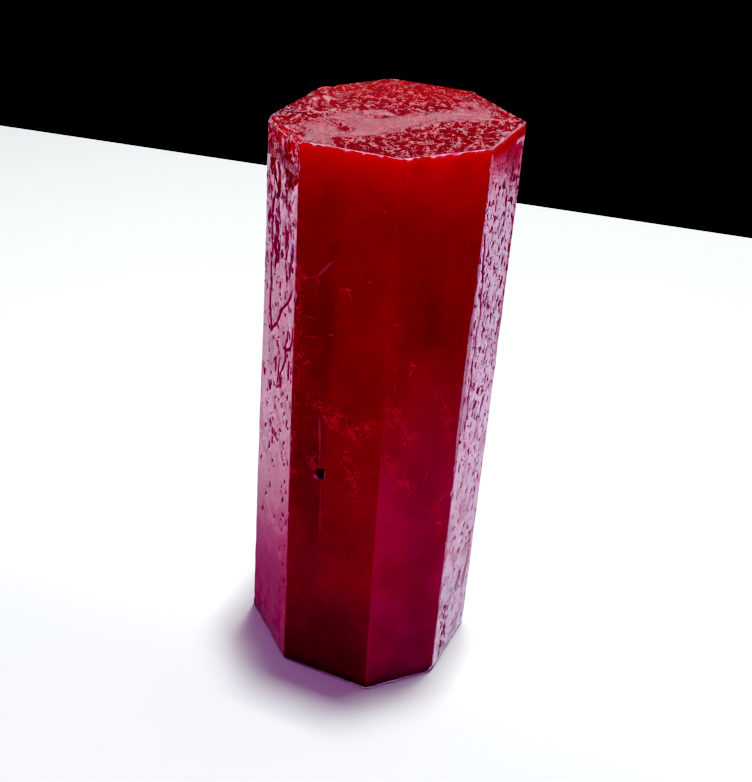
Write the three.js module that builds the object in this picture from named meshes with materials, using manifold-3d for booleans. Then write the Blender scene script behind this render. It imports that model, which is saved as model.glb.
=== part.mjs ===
// A rough red beryl: one eight-sided prism of crystal that stands on its flat end.
//
// Millimetres, +Z up the prism, origin at the middle of the foot. -Y is the front.
// The block is trimmed by eight side faces and a top, then every bevel, chip, pit,
// groove and growth step is cut out of it, so the crystal is a single solid.
import * as THREE from "three";
import { mergeVertices } from "three/addons/utils/BufferGeometryUtils.js";
import Module from "manifold-3d";

const wasm = await Module();
wasm.setup();

// ---- Driving dimensions -------------------------------------------------------------

const HEIGHT = 58; // foot to top, on the axis
const TOP_RISE = { x: 1.83, y: 0.58 }; // slope of the top towards +X and +Y, in degrees

// Side faces in order round the axis. azimuth: where the face looks, in degrees from +X.
// reach: its distance from the axis at mid height. lean: how far it leans in going up, in degrees.
// rim: width of the worn bevel along its top edge. pits and grooves: how many it carries.
const FACES = [
  { name: "left", azimuth: -151.93, reach: 11.37, lean: 0.53, rim: 0.8, pits: 12, grooves: 12 },
  { name: "front_left", azimuth: -111.84, reach: 11.51, lean: 1.32, rim: 0.16, pits: 3, grooves: 0 },
  { name: "front_right", azimuth: -64.17, reach: 11.88, lean: 1.83, rim: 0.16, pits: 3, grooves: 0 },
  { name: "right", azimuth: -23.47, reach: 11.24, lean: 0.91, rim: 0.35, pits: 20, grooves: 5 },
  { name: "back_right", azimuth: 26.2, reach: 10.24, lean: -0.35, rim: 0.2, pits: 12, grooves: 8 },
  { name: "back", azimuth: 67.35, reach: 11.6, lean: 0.85, rim: 0.2, pits: 6, grooves: 2 },
  { name: "back_left", azimuth: 121.12, reach: 11.44, lean: 0.58, rim: 0.2, pits: 6, grooves: 2 },
  { name: "far_left", azimuth: 159.34, reach: 10.61, lean: 0.87, rim: 0.2, pits: 12, grooves: 10 },
];

// Width of the worn bevel down each upright edge. Edge k lies between face k - 1 and face k.
const EDGE_BEVELS = [0.4, 0.3, 0.12, 0.35, 0.35, 0.35, 0.35, 0.35];

// A wider worn strip down part of an edge: the edge, its width and the heights it runs between.
const EDGE_STRIPS = [
  { edge: 3, width: 0.7, from: 26, to: 45 },
  { edge: 6, width: 0.8, from: 10, to: 31 },
  { edge: 0, width: 0.7, from: 30, to: 52 },
];

// Scooped chips. At an upright edge: its number, the height, the ball's radius and how deep it bites.
const EDGE_CHIPS = [
  { edge: 0, z: 1.4, radius: 0.9, bite: 0.25 },
  { edge: 3, z: 0, radius: 1.2, bite: 0.3 },
  { edge: 3, z: 23.4, radius: 1.5, bite: 0.3 },
  { edge: 1, z: 41.4, radius: 1.3, bite: 0.3 },
  { edge: 4, z: 0.2, radius: 1.6, bite: 0.3 },
  { edge: 6, z: 40.5, radius: 2.0, bite: 0.5 },
  { edge: 7, z: 3.0, radius: 1.8, bite: 0.5 },
  { edge: 5, z: 17.0, radius: 1.4, bite: 0.35 },
];

// The same along the top rim: the face it breaks, the way along it from the face's middle line.
const RIM_CHIPS = [
  { face: 3, along: -1.4, radius: 1.0, bite: 0.4 },
  { face: 2, along: -4.1, radius: 0.9, bite: 0.3 },
  { face: 2, along: 0.3, radius: 0.7, bite: 0.25 },
  { face: 0, along: 1.6, radius: 1.1, bite: 0.3 },
  { face: 6, along: 1.0, radius: 1.3, bite: 0.3 },
  { face: 5, along: -2.0, radius: 1.0, bite: 0.25 },
];

// Small chips, scattered evenly: each edge or rim is parted into equal stretches, and one
// chip lies in each, between these two shares of its stretch.
const SMALL_CHIP = { radius: [0.35, 0.75], bite: [0.07, 0.16], share: [0.15, 0.85] };
const SMALL_CHIPS_PER_EDGE = 7;
const SMALL_CHIPS_PER_RIM = 5;
const CHIPPED_RIM = 7; // length of a rim, about its middle, that carries small chips

// Pits that stand out, by face, way along it, height, half width, half height and depth.
const MARKED_PITS = [
  { face: 1, along: -1.5, z: 25.3, width: 0.5, height: 0.6, depth: 1.1 },
  { face: 1, along: -2.15, z: 26.6, width: 0.3, height: 0.6, depth: 0.3 },
  { face: 1, along: 0.6, z: 33.6, width: 0.35, height: 0.3, depth: 0.25 },
  { face: 4, along: 1.5, z: 36.0, width: 0.6, height: 0.8, depth: 0.7 },
  { face: 6, along: -2.4, z: 21.0, width: 0.5, height: 0.6, depth: 0.6 },
];

// Grooves that stand out: two ends as [along, height] on a face, half width and depth.
const MARKED_GROOVES = [
  { face: 0, ends: [[-2.4, 51.5], [-1.9, 42.0]], width: 0.26, depth: 0.2 },
  { face: 0, ends: [[-1.9, 45.0], [-1.4, 37.3]], width: 0.26, depth: 0.2 },
  { face: 0, ends: [[-1.6, 37.2], [3.4, 43.6]], width: 0.2, depth: 0.15 },
  { face: 0, ends: [[3.6, 39.6], [1.0, 32.6]], width: 0.18, depth: 0.14 },
  { face: 7, ends: [[-1.0, 50.0], [0.4, 34.0]], width: 0.25, depth: 0.18 },
  { face: 4, ends: [[2.2, 46.0], [1.4, 31.0]], width: 0.2, depth: 0.14 },
];

// Scattered dents of the sides: where they lie along and up a face, and their half sizes.
// series: how far apart in the scattering series the dents of two neighbouring faces start.
const PIT = {
  series: 31,
  along: [-3.6, 3.6],
  z: [2.5, 55],
  width: [0.14, 0.34],
  height: [0.25, 0.7],
  depth: [0.12, 0.26],
};
const GROOVE = {
  series: 17,
  along: [-3.4, 3.4],
  z: [7, 52],
  width: [0.1, 0.24],
  height: [1.2, 4.4],
  depth: [0.1, 0.22],
};

// Etch hollows of the top: how many, how far from the axis they go, and their half sizes.
const ETCH = { count: 34, reach: 10, width: [0.25, 0.55], height: [0.7, 1.9], depth: [0.1, 0.2] };

// Growth steps: plates that stop short on a face and leave a ledge. Outlines run in
// millimetres along the face and up it, and depth is how far the crystal drops inside them.
const GROWTH_STEPS = [
  {
    face: 0,
    depth: 0.16,
    outline: [[-5, 57], [-2.6, 57], [-2.1, 44], [-1.7, 37.6], [3.2, 43.8], [2.6, 36], [-5, 26]],
  },
  {
    face: 3,
    depth: 0.14,
    outline: [[1.4, 50], [2.0, 57], [6, 57], [6, 33], [2.6, 36], [2.1, 43]],
  },
  {
    face: 3,
    depth: 0.12,
    outline: [[-3.6, 9.5], [-0.6, 7.6], [0.4, 9.8], [1.4, 6.4], [2.6, 10], [2.2, 14], [-3.2, 15]],
  },
  {
    face: 4,
    depth: 0.18,
    outline: [[-6, 12], [-2.2, 13], [-1.4, 24], [-2.6, 31], [-6, 34]],
  },
  {
    face: 5,
    depth: 0.2,
    outline: [[1.4, 58], [2.0, 46], [3.1, 41], [6, 39], [6, 58]],
  },
  {
    face: 7,
    depth: 0.18,
    outline: [[-1.0, 6], [0.6, 18], [-0.4, 30], [1.6, 33], [2.8, 16], [2.4, 5]],
  },
];

// Hollows of the top face: outline points in millimetres from the axis, and depth.
const TOP_STEPS = [
  {
    depth: 0.2,
    outline: [[-8.6, 3.2], [-7.7, 4.9], [-5.9, 5.1], [-4.6, 3.6], [-5.2, 1.6], [-7.0, 0.9], [-8.3, 1.7]],
  },
  {
    depth: 0.12,
    outline: [[-7.4, -5.4], [-1.6, -4.9], [1.7, -2.6], [8.6, -2.2], [7.8, -5.9], [0.4, -9.9], [-5.9, -8.2]],
  },
  {
    depth: 0.14,
    outline: [[-2.6, 7.6], [0.4, 9.6], [4.8, 8.4], [7.2, 4.6], [3.0, 3.4], [-0.6, 4.6], [-3.4, 4.4]],
  },
];

const CRYSTAL = { color: 0x8c0712, roughness: 0.22, metalness: 0, flatShading: true };
const BLOCK = 60; // side of the blocks that trim and cut; anything wider than the crystal does
const SPARE = 4; // how far the untrimmed block stands over the top
const OVER = 1; // how far a cutter stands proud of the surface that it cuts

// ---- Small helpers -------------------------------------------------------------------

const radians = THREE.MathUtils.degToRad;
const mix = (range, share) => range[0] + (range[1] - range[0]) * share;

// Evenly scattered numbers from 0 to 1: the k-th term of an additive series.
const scatter = (k, step) => ((k + 1) * step) % 1;
const [STEP_A, STEP_B, STEP_C] = [0.6180339887, 0.7548776662, 0.5698402910];

/** A closed three.js geometry, placed by matrix, as a solid that can be cut and joined. */
function solidOf(geometry, matrix) {
  const placed = geometry.clone().applyMatrix4(matrix);
  placed.deleteAttribute("normal");
  placed.deleteAttribute("uv");
  const merged = mergeVertices(placed, 1e-4);
  return new wasm.Manifold(
    new wasm.Mesh({
      numProp: 3,
      vertProperties: merged.getAttribute("position").array,
      triVerts: new Uint32Array(merged.index.array),
    }),
  );
}

/** A solid back as a three.js geometry. */
function geometryOf(solid) {
  const mesh = solid.getMesh();
  const geometry = new THREE.BufferGeometry();
  geometry.setAttribute("position", new THREE.BufferAttribute(mesh.vertProperties, 3));
  geometry.setIndex(new THREE.BufferAttribute(mesh.triVerts, 1));
  geometry.computeVertexNormals();
  return geometry;
}

// ---- Where things lie on the crystal ---------------------------------------------------

/** A point of a side face: along it to the right as seen from outside, and up at height z. */
function pointOnFace(face, along, z) {
  const azimuth = radians(face.azimuth);
  const reach = face.reach - Math.tan(radians(face.lean)) * (z - HEIGHT / 2);
  return new THREE.Vector3(
    reach * Math.cos(azimuth) - along * Math.sin(azimuth),
    reach * Math.sin(azimuth) + along * Math.cos(azimuth),
    z,
  );
}

function normalOfFace(face) {
  const azimuth = radians(face.azimuth);
  const rise = Math.tan(radians(face.lean));
  return new THREE.Vector3(Math.cos(azimuth), Math.sin(azimuth), rise).normalize();
}

/** A frame with local Z along outward, local Y as close to up as it can be, at a point. */
function frameAt(point, outward, up = new THREE.Vector3(0, 0, 1)) {
  const z = outward.clone().normalize();
  const x = new THREE.Vector3().crossVectors(up, z).normalize();
  const y = new THREE.Vector3().crossVectors(z, x);
  return new THREE.Matrix4().makeBasis(x, y, z).setPosition(point);
}

const faceFrame = (face, along, z) => frameAt(pointOnFace(face, along, z), normalOfFace(face));

const TOP_SLOPE = new THREE.Vector2(Math.tan(radians(TOP_RISE.x)), Math.tan(radians(TOP_RISE.y)));
const TOP_NORMAL = new THREE.Vector3(-TOP_SLOPE.x, -TOP_SLOPE.y, 1).normalize();
const topHeight = (x, y) => HEIGHT + TOP_SLOPE.x * x + TOP_SLOPE.y * y;

/** A frame on the top face with local Z along its normal and local Y towards +Y. */
function topFrame(x, y) {
  return frameAt(new THREE.Vector3(x, y, topHeight(x, y)), TOP_NORMAL, new THREE.Vector3(0, 1, 0));
}

/** The corner of the cross-section between two side faces at height z. */
function corner(a, b, z) {
  const [pa, pb] = [pointOnFace(a, 0, z), pointOnFace(b, 0, z)];
  const [ta, tb] = [radians(a.azimuth), radians(b.azimuth)];
  const da = pa.x * Math.cos(ta) + pa.y * Math.sin(ta);
  const db = pb.x * Math.cos(tb) + pb.y * Math.sin(tb);
  const turn = Math.sin(tb - ta);
  return new THREE.Vector3(
    (da * Math.sin(tb) - db * Math.sin(ta)) / turn,
    (db * Math.cos(ta) - da * Math.cos(tb)) / turn,
    z,
  );
}

const faceBefore = (k) => FACES[(k + FACES.length - 1) % FACES.length];

/** The frame of edge k at height z: local Y up the edge, local Z outwards between its two faces. */
function edgeFrame(k, z) {
  const [a, b] = [faceBefore(k), FACES[k]];
  const up = corner(a, b, HEIGHT).sub(corner(a, b, 0)).normalize();
  const outward = normalOfFace(a).add(normalOfFace(b));
  return frameAt(corner(a, b, z), outward, up);
}

/** How deep a bevel of this width goes in from the edge between two faces. */
function bevelDepth(normalA, normalB, width) {
  return (width / 2) * Math.tan(normalA.angleTo(normalB) / 2);
}

// ---- The crystal's form ------------------------------------------------------------------

/** A block that takes away everything beyond local Z = -depth, over a length of local Y. */
function trimmer(frame, depth = 0, length = 2 * BLOCK) {
  const block = new THREE.BoxGeometry(BLOCK, length, BLOCK);
  block.translate(0, 0, BLOCK / 2 - depth);
  return solidOf(block, frame);
}

/** The block with its eight side faces and its top. */
function trimmedPrism() {
  const block = new THREE.BoxGeometry(BLOCK, BLOCK, HEIGHT + SPARE);
  block.translate(0, 0, (HEIGHT + SPARE) / 2);
  const faces = FACES.map((face) => trimmer(faceFrame(face, 0, HEIGHT / 2)));
  const top = trimmer(topFrame(0, 0));
  return wasm.Manifold.difference([solidOf(block, new THREE.Matrix4()), ...faces, top]);
}

/** Worn bevels down the upright edges, with their wider strips. */
function edgeBevels() {
  const middle = HEIGHT / 2;
  const depthAt = (k, width) => bevelDepth(normalOfFace(faceBefore(k)), normalOfFace(FACES[k]), width);
  const bevels = EDGE_BEVELS.map((width, k) => trimmer(edgeFrame(k, middle), depthAt(k, width)));
  const strips = EDGE_STRIPS.map(({ edge, width, from, to }) =>
    trimmer(edgeFrame(edge, (from + to) / 2), depthAt(edge, width), to - from),
  );
  return [...bevels, ...strips];
}

/** Where the top rim runs over a face, as a frame whose local Z looks out and up at 45 degrees. */
function rimFrame(face, along) {
  const point = pointOnFace(face, along, HEIGHT);
  point.z = topHeight(point.x, point.y);
  return frameAt(point, normalOfFace(face).add(TOP_NORMAL));
}

function rimBevels() {
  return FACES.map((face) =>
    trimmer(rimFrame(face, 0), bevelDepth(normalOfFace(face), TOP_NORMAL, face.rim)),
  );
}

// ---- Wear and growth marks ------------------------------------------------------------------

/** A ball that bites this deep into whatever lies under local Z = 0 of the frame. */
function scoop(frame, radius, bite) {
  const ball = new THREE.IcosahedronGeometry(radius, 1).translate(0, 0, radius - bite);
  return solidOf(ball, frame);
}

function chips() {
  const marked = EDGE_CHIPS.map(({ edge, z, radius, bite }) =>
    scoop(edgeFrame(edge, z), radius, bite),
  );
  const rim = RIM_CHIPS.map(({ face, along, radius, bite }) =>
    scoop(rimFrame(FACES[face], along), radius, bite),
  );
  const small = [];
  FACES.forEach((face, k) => {
    for (let n = 0; n < SMALL_CHIPS_PER_EDGE; n++) {
      const id = k * SMALL_CHIPS_PER_EDGE + n;
      const place = n + mix(SMALL_CHIP.share, scatter(id, STEP_A));
      const z = (HEIGHT * place) / SMALL_CHIPS_PER_EDGE;
      const radius = mix(SMALL_CHIP.radius, scatter(id, STEP_B));
      small.push(scoop(edgeFrame(k, z), radius, mix(SMALL_CHIP.bite, scatter(id, STEP_C))));
    }
    for (let n = 0; n < SMALL_CHIPS_PER_RIM; n++) {
      const id = k * SMALL_CHIPS_PER_RIM + n;
      const place = n + mix(SMALL_CHIP.share, scatter(id, STEP_B));
      const along = CHIPPED_RIM * (place / SMALL_CHIPS_PER_RIM - 0.5);
      const radius = mix(SMALL_CHIP.radius, scatter(id, STEP_C));
      small.push(scoop(rimFrame(face, along), radius, mix(SMALL_CHIP.bite, scatter(id, STEP_A))));
    }
  });
  return [...marked, ...rim, ...small];
}

/** Half sizes picked from a family of dents by one scattered number. */
function sizeFrom(family, id) {
  return {
    width: mix(family.width, scatter(id, STEP_C)),
    height: mix(family.height, scatter(id, STEP_A)),
    depth: mix(family.depth, scatter(id, STEP_B)),
  };
}

/** A dent: a stretched gem shape sunk to its middle, so that it leaves sloping flat sides. */
function dent(gem, frame, { width, height, depth }) {
  return solidOf(gem.clone().scale(width, height, depth), frame);
}

function pits() {
  const gem = new THREE.IcosahedronGeometry(1, 0);
  const marked = MARKED_PITS.map(({ face, along, z, ...size }) =>
    dent(gem, faceFrame(FACES[face], along, z), size),
  );
  const small = FACES.flatMap((face, k) =>
    Array.from({ length: face.pits }, (_, n) => {
      const id = PIT.series * k + n;
      const along = mix(PIT.along, scatter(id, STEP_B));
      const z = mix(PIT.z, (n + scatter(id, STEP_A)) / face.pits);
      return dent(gem, faceFrame(face, along, z), sizeFrom(PIT, id));
    }),
  );
  return [...marked, ...small];
}

/** A long dent between two ends on a face, turned in the face so that its length joins them. */
function markedGroove(gem, { face, ends, width, depth }) {
  const [from, to] = ends.map(([along, z]) => new THREE.Vector2(along, z));
  const run = to.clone().sub(from);
  const middle = from.add(to).multiplyScalar(0.5);
  const frame = faceFrame(FACES[face], middle.x, middle.y);
  frame.multiply(new THREE.Matrix4().makeRotationZ(run.angle() - Math.PI / 2));
  return dent(gem, frame, { width, height: run.length() / 2, depth });
}

function grooves() {
  const gem = new THREE.OctahedronGeometry(1, 0);
  const marked = MARKED_GROOVES.map((groove) => markedGroove(gem, groove));
  const small = FACES.flatMap((face, k) =>
    Array.from({ length: face.grooves }, (_, n) => {
      const id = GROOVE.series * k + n;
      const along = mix(GROOVE.along, scatter(id, STEP_A));
      const z = mix(GROOVE.z, Math.sqrt((n + scatter(id, STEP_B)) / face.grooves));
      return dent(gem, faceFrame(face, along, z), sizeFrom(GROOVE, id));
    }),
  );
  return [...marked, ...small];
}

/** Etch hollows of the top, spread evenly in a spiral and turned every way. */
function topEtching() {
  const gem = new THREE.OctahedronGeometry(1, 1);
  return Array.from({ length: ETCH.count }, (_, n) => {
    const turn = 2 * Math.PI * STEP_A * n;
    const reach = ETCH.reach * Math.sqrt((n + 0.5) / ETCH.count);
    const frame = topFrame(reach * Math.cos(turn), reach * Math.sin(turn));
    frame.multiply(new THREE.Matrix4().makeRotationZ(Math.PI * scatter(n, STEP_C)));
    return dent(gem, frame, sizeFrom(ETCH, n));
  });
}

/** An outline sunk into the surface under a frame, given in that frame's local X and Y. */
function step(frame, outline, depth) {
  const shape = new THREE.Shape(outline.map(([x, y]) => new THREE.Vector2(x, y)));
  const plate = new THREE.ExtrudeGeometry(shape, { depth: depth + OVER, bevelEnabled: false });
  return solidOf(plate.translate(0, 0, -depth), frame);
}

function growthSteps() {
  const sides = GROWTH_STEPS.map(({ face, depth, outline }) =>
    step(faceFrame(FACES[face], 0, 0), outline, depth),
  );
  const top = TOP_STEPS.map(({ depth, outline }) => step(topFrame(0, 0), outline, depth));
  return [...sides, ...top];
}

// ---- The part ------------------------------------------------------------------------------

function crystal() {
  const wear = [edgeBevels(), rimBevels(), chips()].flat();
  const growth = [growthSteps(), pits(), grooves(), topEtching()].flat();
  const body = wasm.Manifold.difference([trimmedPrism(), ...wear, ...growth]);
  const mesh = new THREE.Mesh(geometryOf(body), new THREE.MeshStandardMaterial(CRYSTAL));
  mesh.name = "beryl_crystal";
  return mesh;
}

const part = new THREE.Group();
part.add(crystal());

export default part;
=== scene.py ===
"""A rough red beryl: one eight-sided prism of deep red crystal, on a pale table top.

Lengths are millimetres until a mesh, a light or the camera is placed, which is in metres.
The crystal stands on z = 0 with its axis on the origin, and -Y is its front.
"""

import logging
import math
from dataclasses import dataclass, field, replace
from enum import Enum
from typing import Callable, Sequence

import bpy
import numpy as np
from mathutils import Matrix, Vector

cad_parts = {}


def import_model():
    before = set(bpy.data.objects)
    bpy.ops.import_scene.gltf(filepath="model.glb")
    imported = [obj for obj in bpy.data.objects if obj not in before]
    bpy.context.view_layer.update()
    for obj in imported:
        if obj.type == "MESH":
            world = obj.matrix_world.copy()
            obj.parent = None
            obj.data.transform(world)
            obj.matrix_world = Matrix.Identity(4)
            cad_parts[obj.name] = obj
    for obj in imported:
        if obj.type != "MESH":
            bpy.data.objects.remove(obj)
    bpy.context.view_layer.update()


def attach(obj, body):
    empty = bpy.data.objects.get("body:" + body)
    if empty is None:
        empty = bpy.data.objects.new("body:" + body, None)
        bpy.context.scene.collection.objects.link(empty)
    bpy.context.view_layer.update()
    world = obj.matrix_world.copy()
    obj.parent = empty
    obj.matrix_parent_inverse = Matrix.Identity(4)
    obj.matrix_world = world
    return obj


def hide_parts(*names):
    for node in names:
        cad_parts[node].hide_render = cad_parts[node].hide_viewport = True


LOG = logging.getLogger("beryl")

MM = 0.001  # metres in a millimetre
NODE = "beryl_crystal"
HEIGHT = 58.0  # of the crystal on its axis
PICTURE_HEIGHT = 782  # pixels, the longer side of what the camera frames

Array = np.ndarray


# ---------------------------------------------------------------------------------------
# Numbers that more than one shape uses
# ---------------------------------------------------------------------------------------


def smooth(x: Array) -> Array:
    """Smoothstep: 0 below 0, 1 above 1, and 3x^2 - 2x^3 between them."""
    x = np.clip(x, 0.0, 1.0)
    return x * x * (3.0 - 2.0 * x)


def soft_over(x: Array, softness: float) -> Array:
    """How far x lies over 0, rounded at the corner: softness times log(1 + exp(x / softness))."""
    return softness * np.logaddexp(0.0, x / softness)


def bell(x: Array, width: float) -> Array:
    """A smooth bump that is 1 where x is 0: exp(-(x / width)^2)."""
    return np.exp(-((x / width) ** 2))


def between(share: Array, span: tuple[float, float]) -> Array:
    """The number that lies this share of the way through a span."""
    return span[0] + (span[1] - span[0]) * share


# Steps of additive series that scatter well: the golden ratio's, and the plastic number's two.
STEP_A, STEP_B, STEP_C = 0.6180339887, 0.7548776662, 0.5698402910


def scatter(count: int, step: float) -> Array:
    """Evenly scattered numbers from 0 to 1: the terms of an additive series of that step."""
    return ((np.arange(count) + 1) * step) % 1.0


def hashed(i: Array, j: Array, k: Array, seed: int) -> Array:
    """A number from -1 to 1 for each lattice point: its three indices mixed by odd multipliers."""
    h = (i * 374761393 + j * 668265263 + k * 2147483647 + seed * 1274126177) & 0xFFFFFFFF
    h = ((h ^ (h >> 13)) * 1274126177) & 0xFFFFFFFF
    h = ((h ^ (h >> 16)) * 2246822519) & 0xFFFFFFFF
    return (h ^ (h >> 15)).astype(np.float64) / 2147483647.5 - 1.0


def noise(points: Array, seed: int) -> Array:
    """Smooth noise from -1 to 1 at points (n, 3), one lattice step to a unit.

    The eight hashed values round each point are blended by x^3 (6x^2 - 15x + 10) of its place
    in the cell along each axis.
    """
    cell = np.floor(points).astype(np.int64)
    f = points - cell
    f = f * f * f * (f * (f * 6.0 - 15.0) + 10.0)
    total = np.zeros(len(points))
    for corner in range(8):
        a, b, c = corner & 1, corner >> 1 & 1, corner >> 2 & 1
        weight = (
            (f[:, 0] if a else 1 - f[:, 0])
            * (f[:, 1] if b else 1 - f[:, 1])
            * (f[:, 2] if c else 1 - f[:, 2])
        )
        total += weight * hashed(cell[:, 0] + a, cell[:, 1] + b, cell[:, 2] + c, seed)
    return total


def rough_noise(points: Array, seed: int, octaves: int = 3) -> Array:
    """Sum of noise at doubled frequency and halved strength, from about -1 to 1."""
    total = np.zeros(len(points))
    for octave in range(octaves):
        total += noise(points * 2.0**octave, seed + octave) * 0.5**octave
    return total / (2.0 - 0.5 ** (octaves - 1))


# ---------------------------------------------------------------------------------------
# The form of the crystal
# ---------------------------------------------------------------------------------------


@dataclass(frozen=True)
class SideFace:
    """One of the eight side faces of the prism.

    azimuth: where it looks, in degrees from +X. reach: its distance from the axis at mid
    height. lean: how far it leans in going up, in degrees. columns: mesh columns across it.
    rim: width of the worn bevel along its top edge. etch: how deeply its skin is etched.
    edge: width of the bevel down its left edge, which it shares with the face before it.
    """

    name: str
    azimuth: float
    reach: float
    lean: float
    columns: int
    rim: float
    etch: float
    edge: float

    @property
    def normal(self) -> Array:
        """The outward unit normal."""
        a = math.radians(self.azimuth)
        n = np.array([math.cos(a), math.sin(a), math.tan(math.radians(self.lean))])
        return n / np.linalg.norm(n)

    @property
    def along(self) -> Array:
        """The level unit vector along the face, to the right as seen from outside."""
        a = math.radians(self.azimuth)
        return np.array([-math.sin(a), math.cos(a), 0.0])

    def distance(self, z: Array, height: float) -> Array:
        """The face's level distance from the axis at height z."""
        return self.reach - math.tan(math.radians(self.lean)) * (z - height / 2)

    def point(self, along: float, z: float, height: float) -> Array:
        """The point that lies this far along the face and this high."""
        a = math.radians(self.azimuth)
        out = np.array([math.cos(a), math.sin(a), 0.0])
        return out * self.distance(z, height) + self.along * along + np.array([0, 0, z])


FACES = (
    SideFace("left", -151.93, 11.37, 0.53, 58, 0.8, 1.0, 0.4),
    SideFace("front_left", -111.84, 11.51, 1.32, 46, 0.16, 0.0, 0.24),
    SideFace("front_right", -64.17, 11.88, 1.83, 46, 0.16, 0.0, 0.1),
    SideFace("right", -23.47, 11.24, 0.91, 62, 0.35, 0.9, 0.3),
    SideFace("back_right", 26.2, 10.24, -0.35, 40, 0.2, 0.8, 0.35),
    SideFace("back", 67.35, 11.6, 0.85, 34, 0.2, 0.35, 0.35),
    SideFace("back_left", 121.12, 11.44, 0.58, 34, 0.2, 0.35, 0.35),
    SideFace("far_left", 159.34, 10.61, 0.87, 42, 0.2, 0.8, 0.35),
)


@dataclass(frozen=True)
class EdgeChip:
    """A ball-shaped bite out of an upright edge: its edge, height, ball radius and depth."""

    edge: int
    z: float
    radius: float
    bite: float


@dataclass(frozen=True)
class RimChip:
    """A ball-shaped bite out of the top rim: the face it breaks and the way along that face."""

    face: int
    along: float
    radius: float
    bite: float


@dataclass(frozen=True)
class Pit:
    """A dent in a side face: its middle on the face, half width, half height and depth."""

    face: int
    along: float
    z: float
    width: float
    height: float
    depth: float


@dataclass(frozen=True)
class Ledge:
    """A growth step: the face drops by this depth inside an outline of (along, height) points."""

    face: int
    depth: float
    outline: tuple[tuple[float, float], ...]


@dataclass(frozen=True)
class Strip:
    """A wider worn bevel down part of an upright edge, between two heights."""

    edge: int
    width: float
    low: float
    high: float


@dataclass(frozen=True)
class PitField:
    """A scatter of lens-shaped pits over part of a side face.

    along, z: the stretch of the face they lie in. width, height, depth: the smallest and the
    largest half width, half height and depth. sway: how far a pit's middle line waves.
    """

    face: int
    count: int
    along: tuple[float, float]
    z: tuple[float, float]
    width: tuple[float, float]
    height: tuple[float, float]
    depth: tuple[float, float]
    sway: float = 0.0


@dataclass(frozen=True)
class Groove:
    """A groove along a side face through (along, height) points, with its half width and depth."""

    face: int
    points: tuple[tuple[float, float], ...]
    width: float
    depth: float


@dataclass(frozen=True)
class HazePatch:
    """A part of the dull film on the top: a bar between two points of it, rounded at a radius."""

    start: tuple[float, float]
    end: tuple[float, float]
    radius: float


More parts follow.
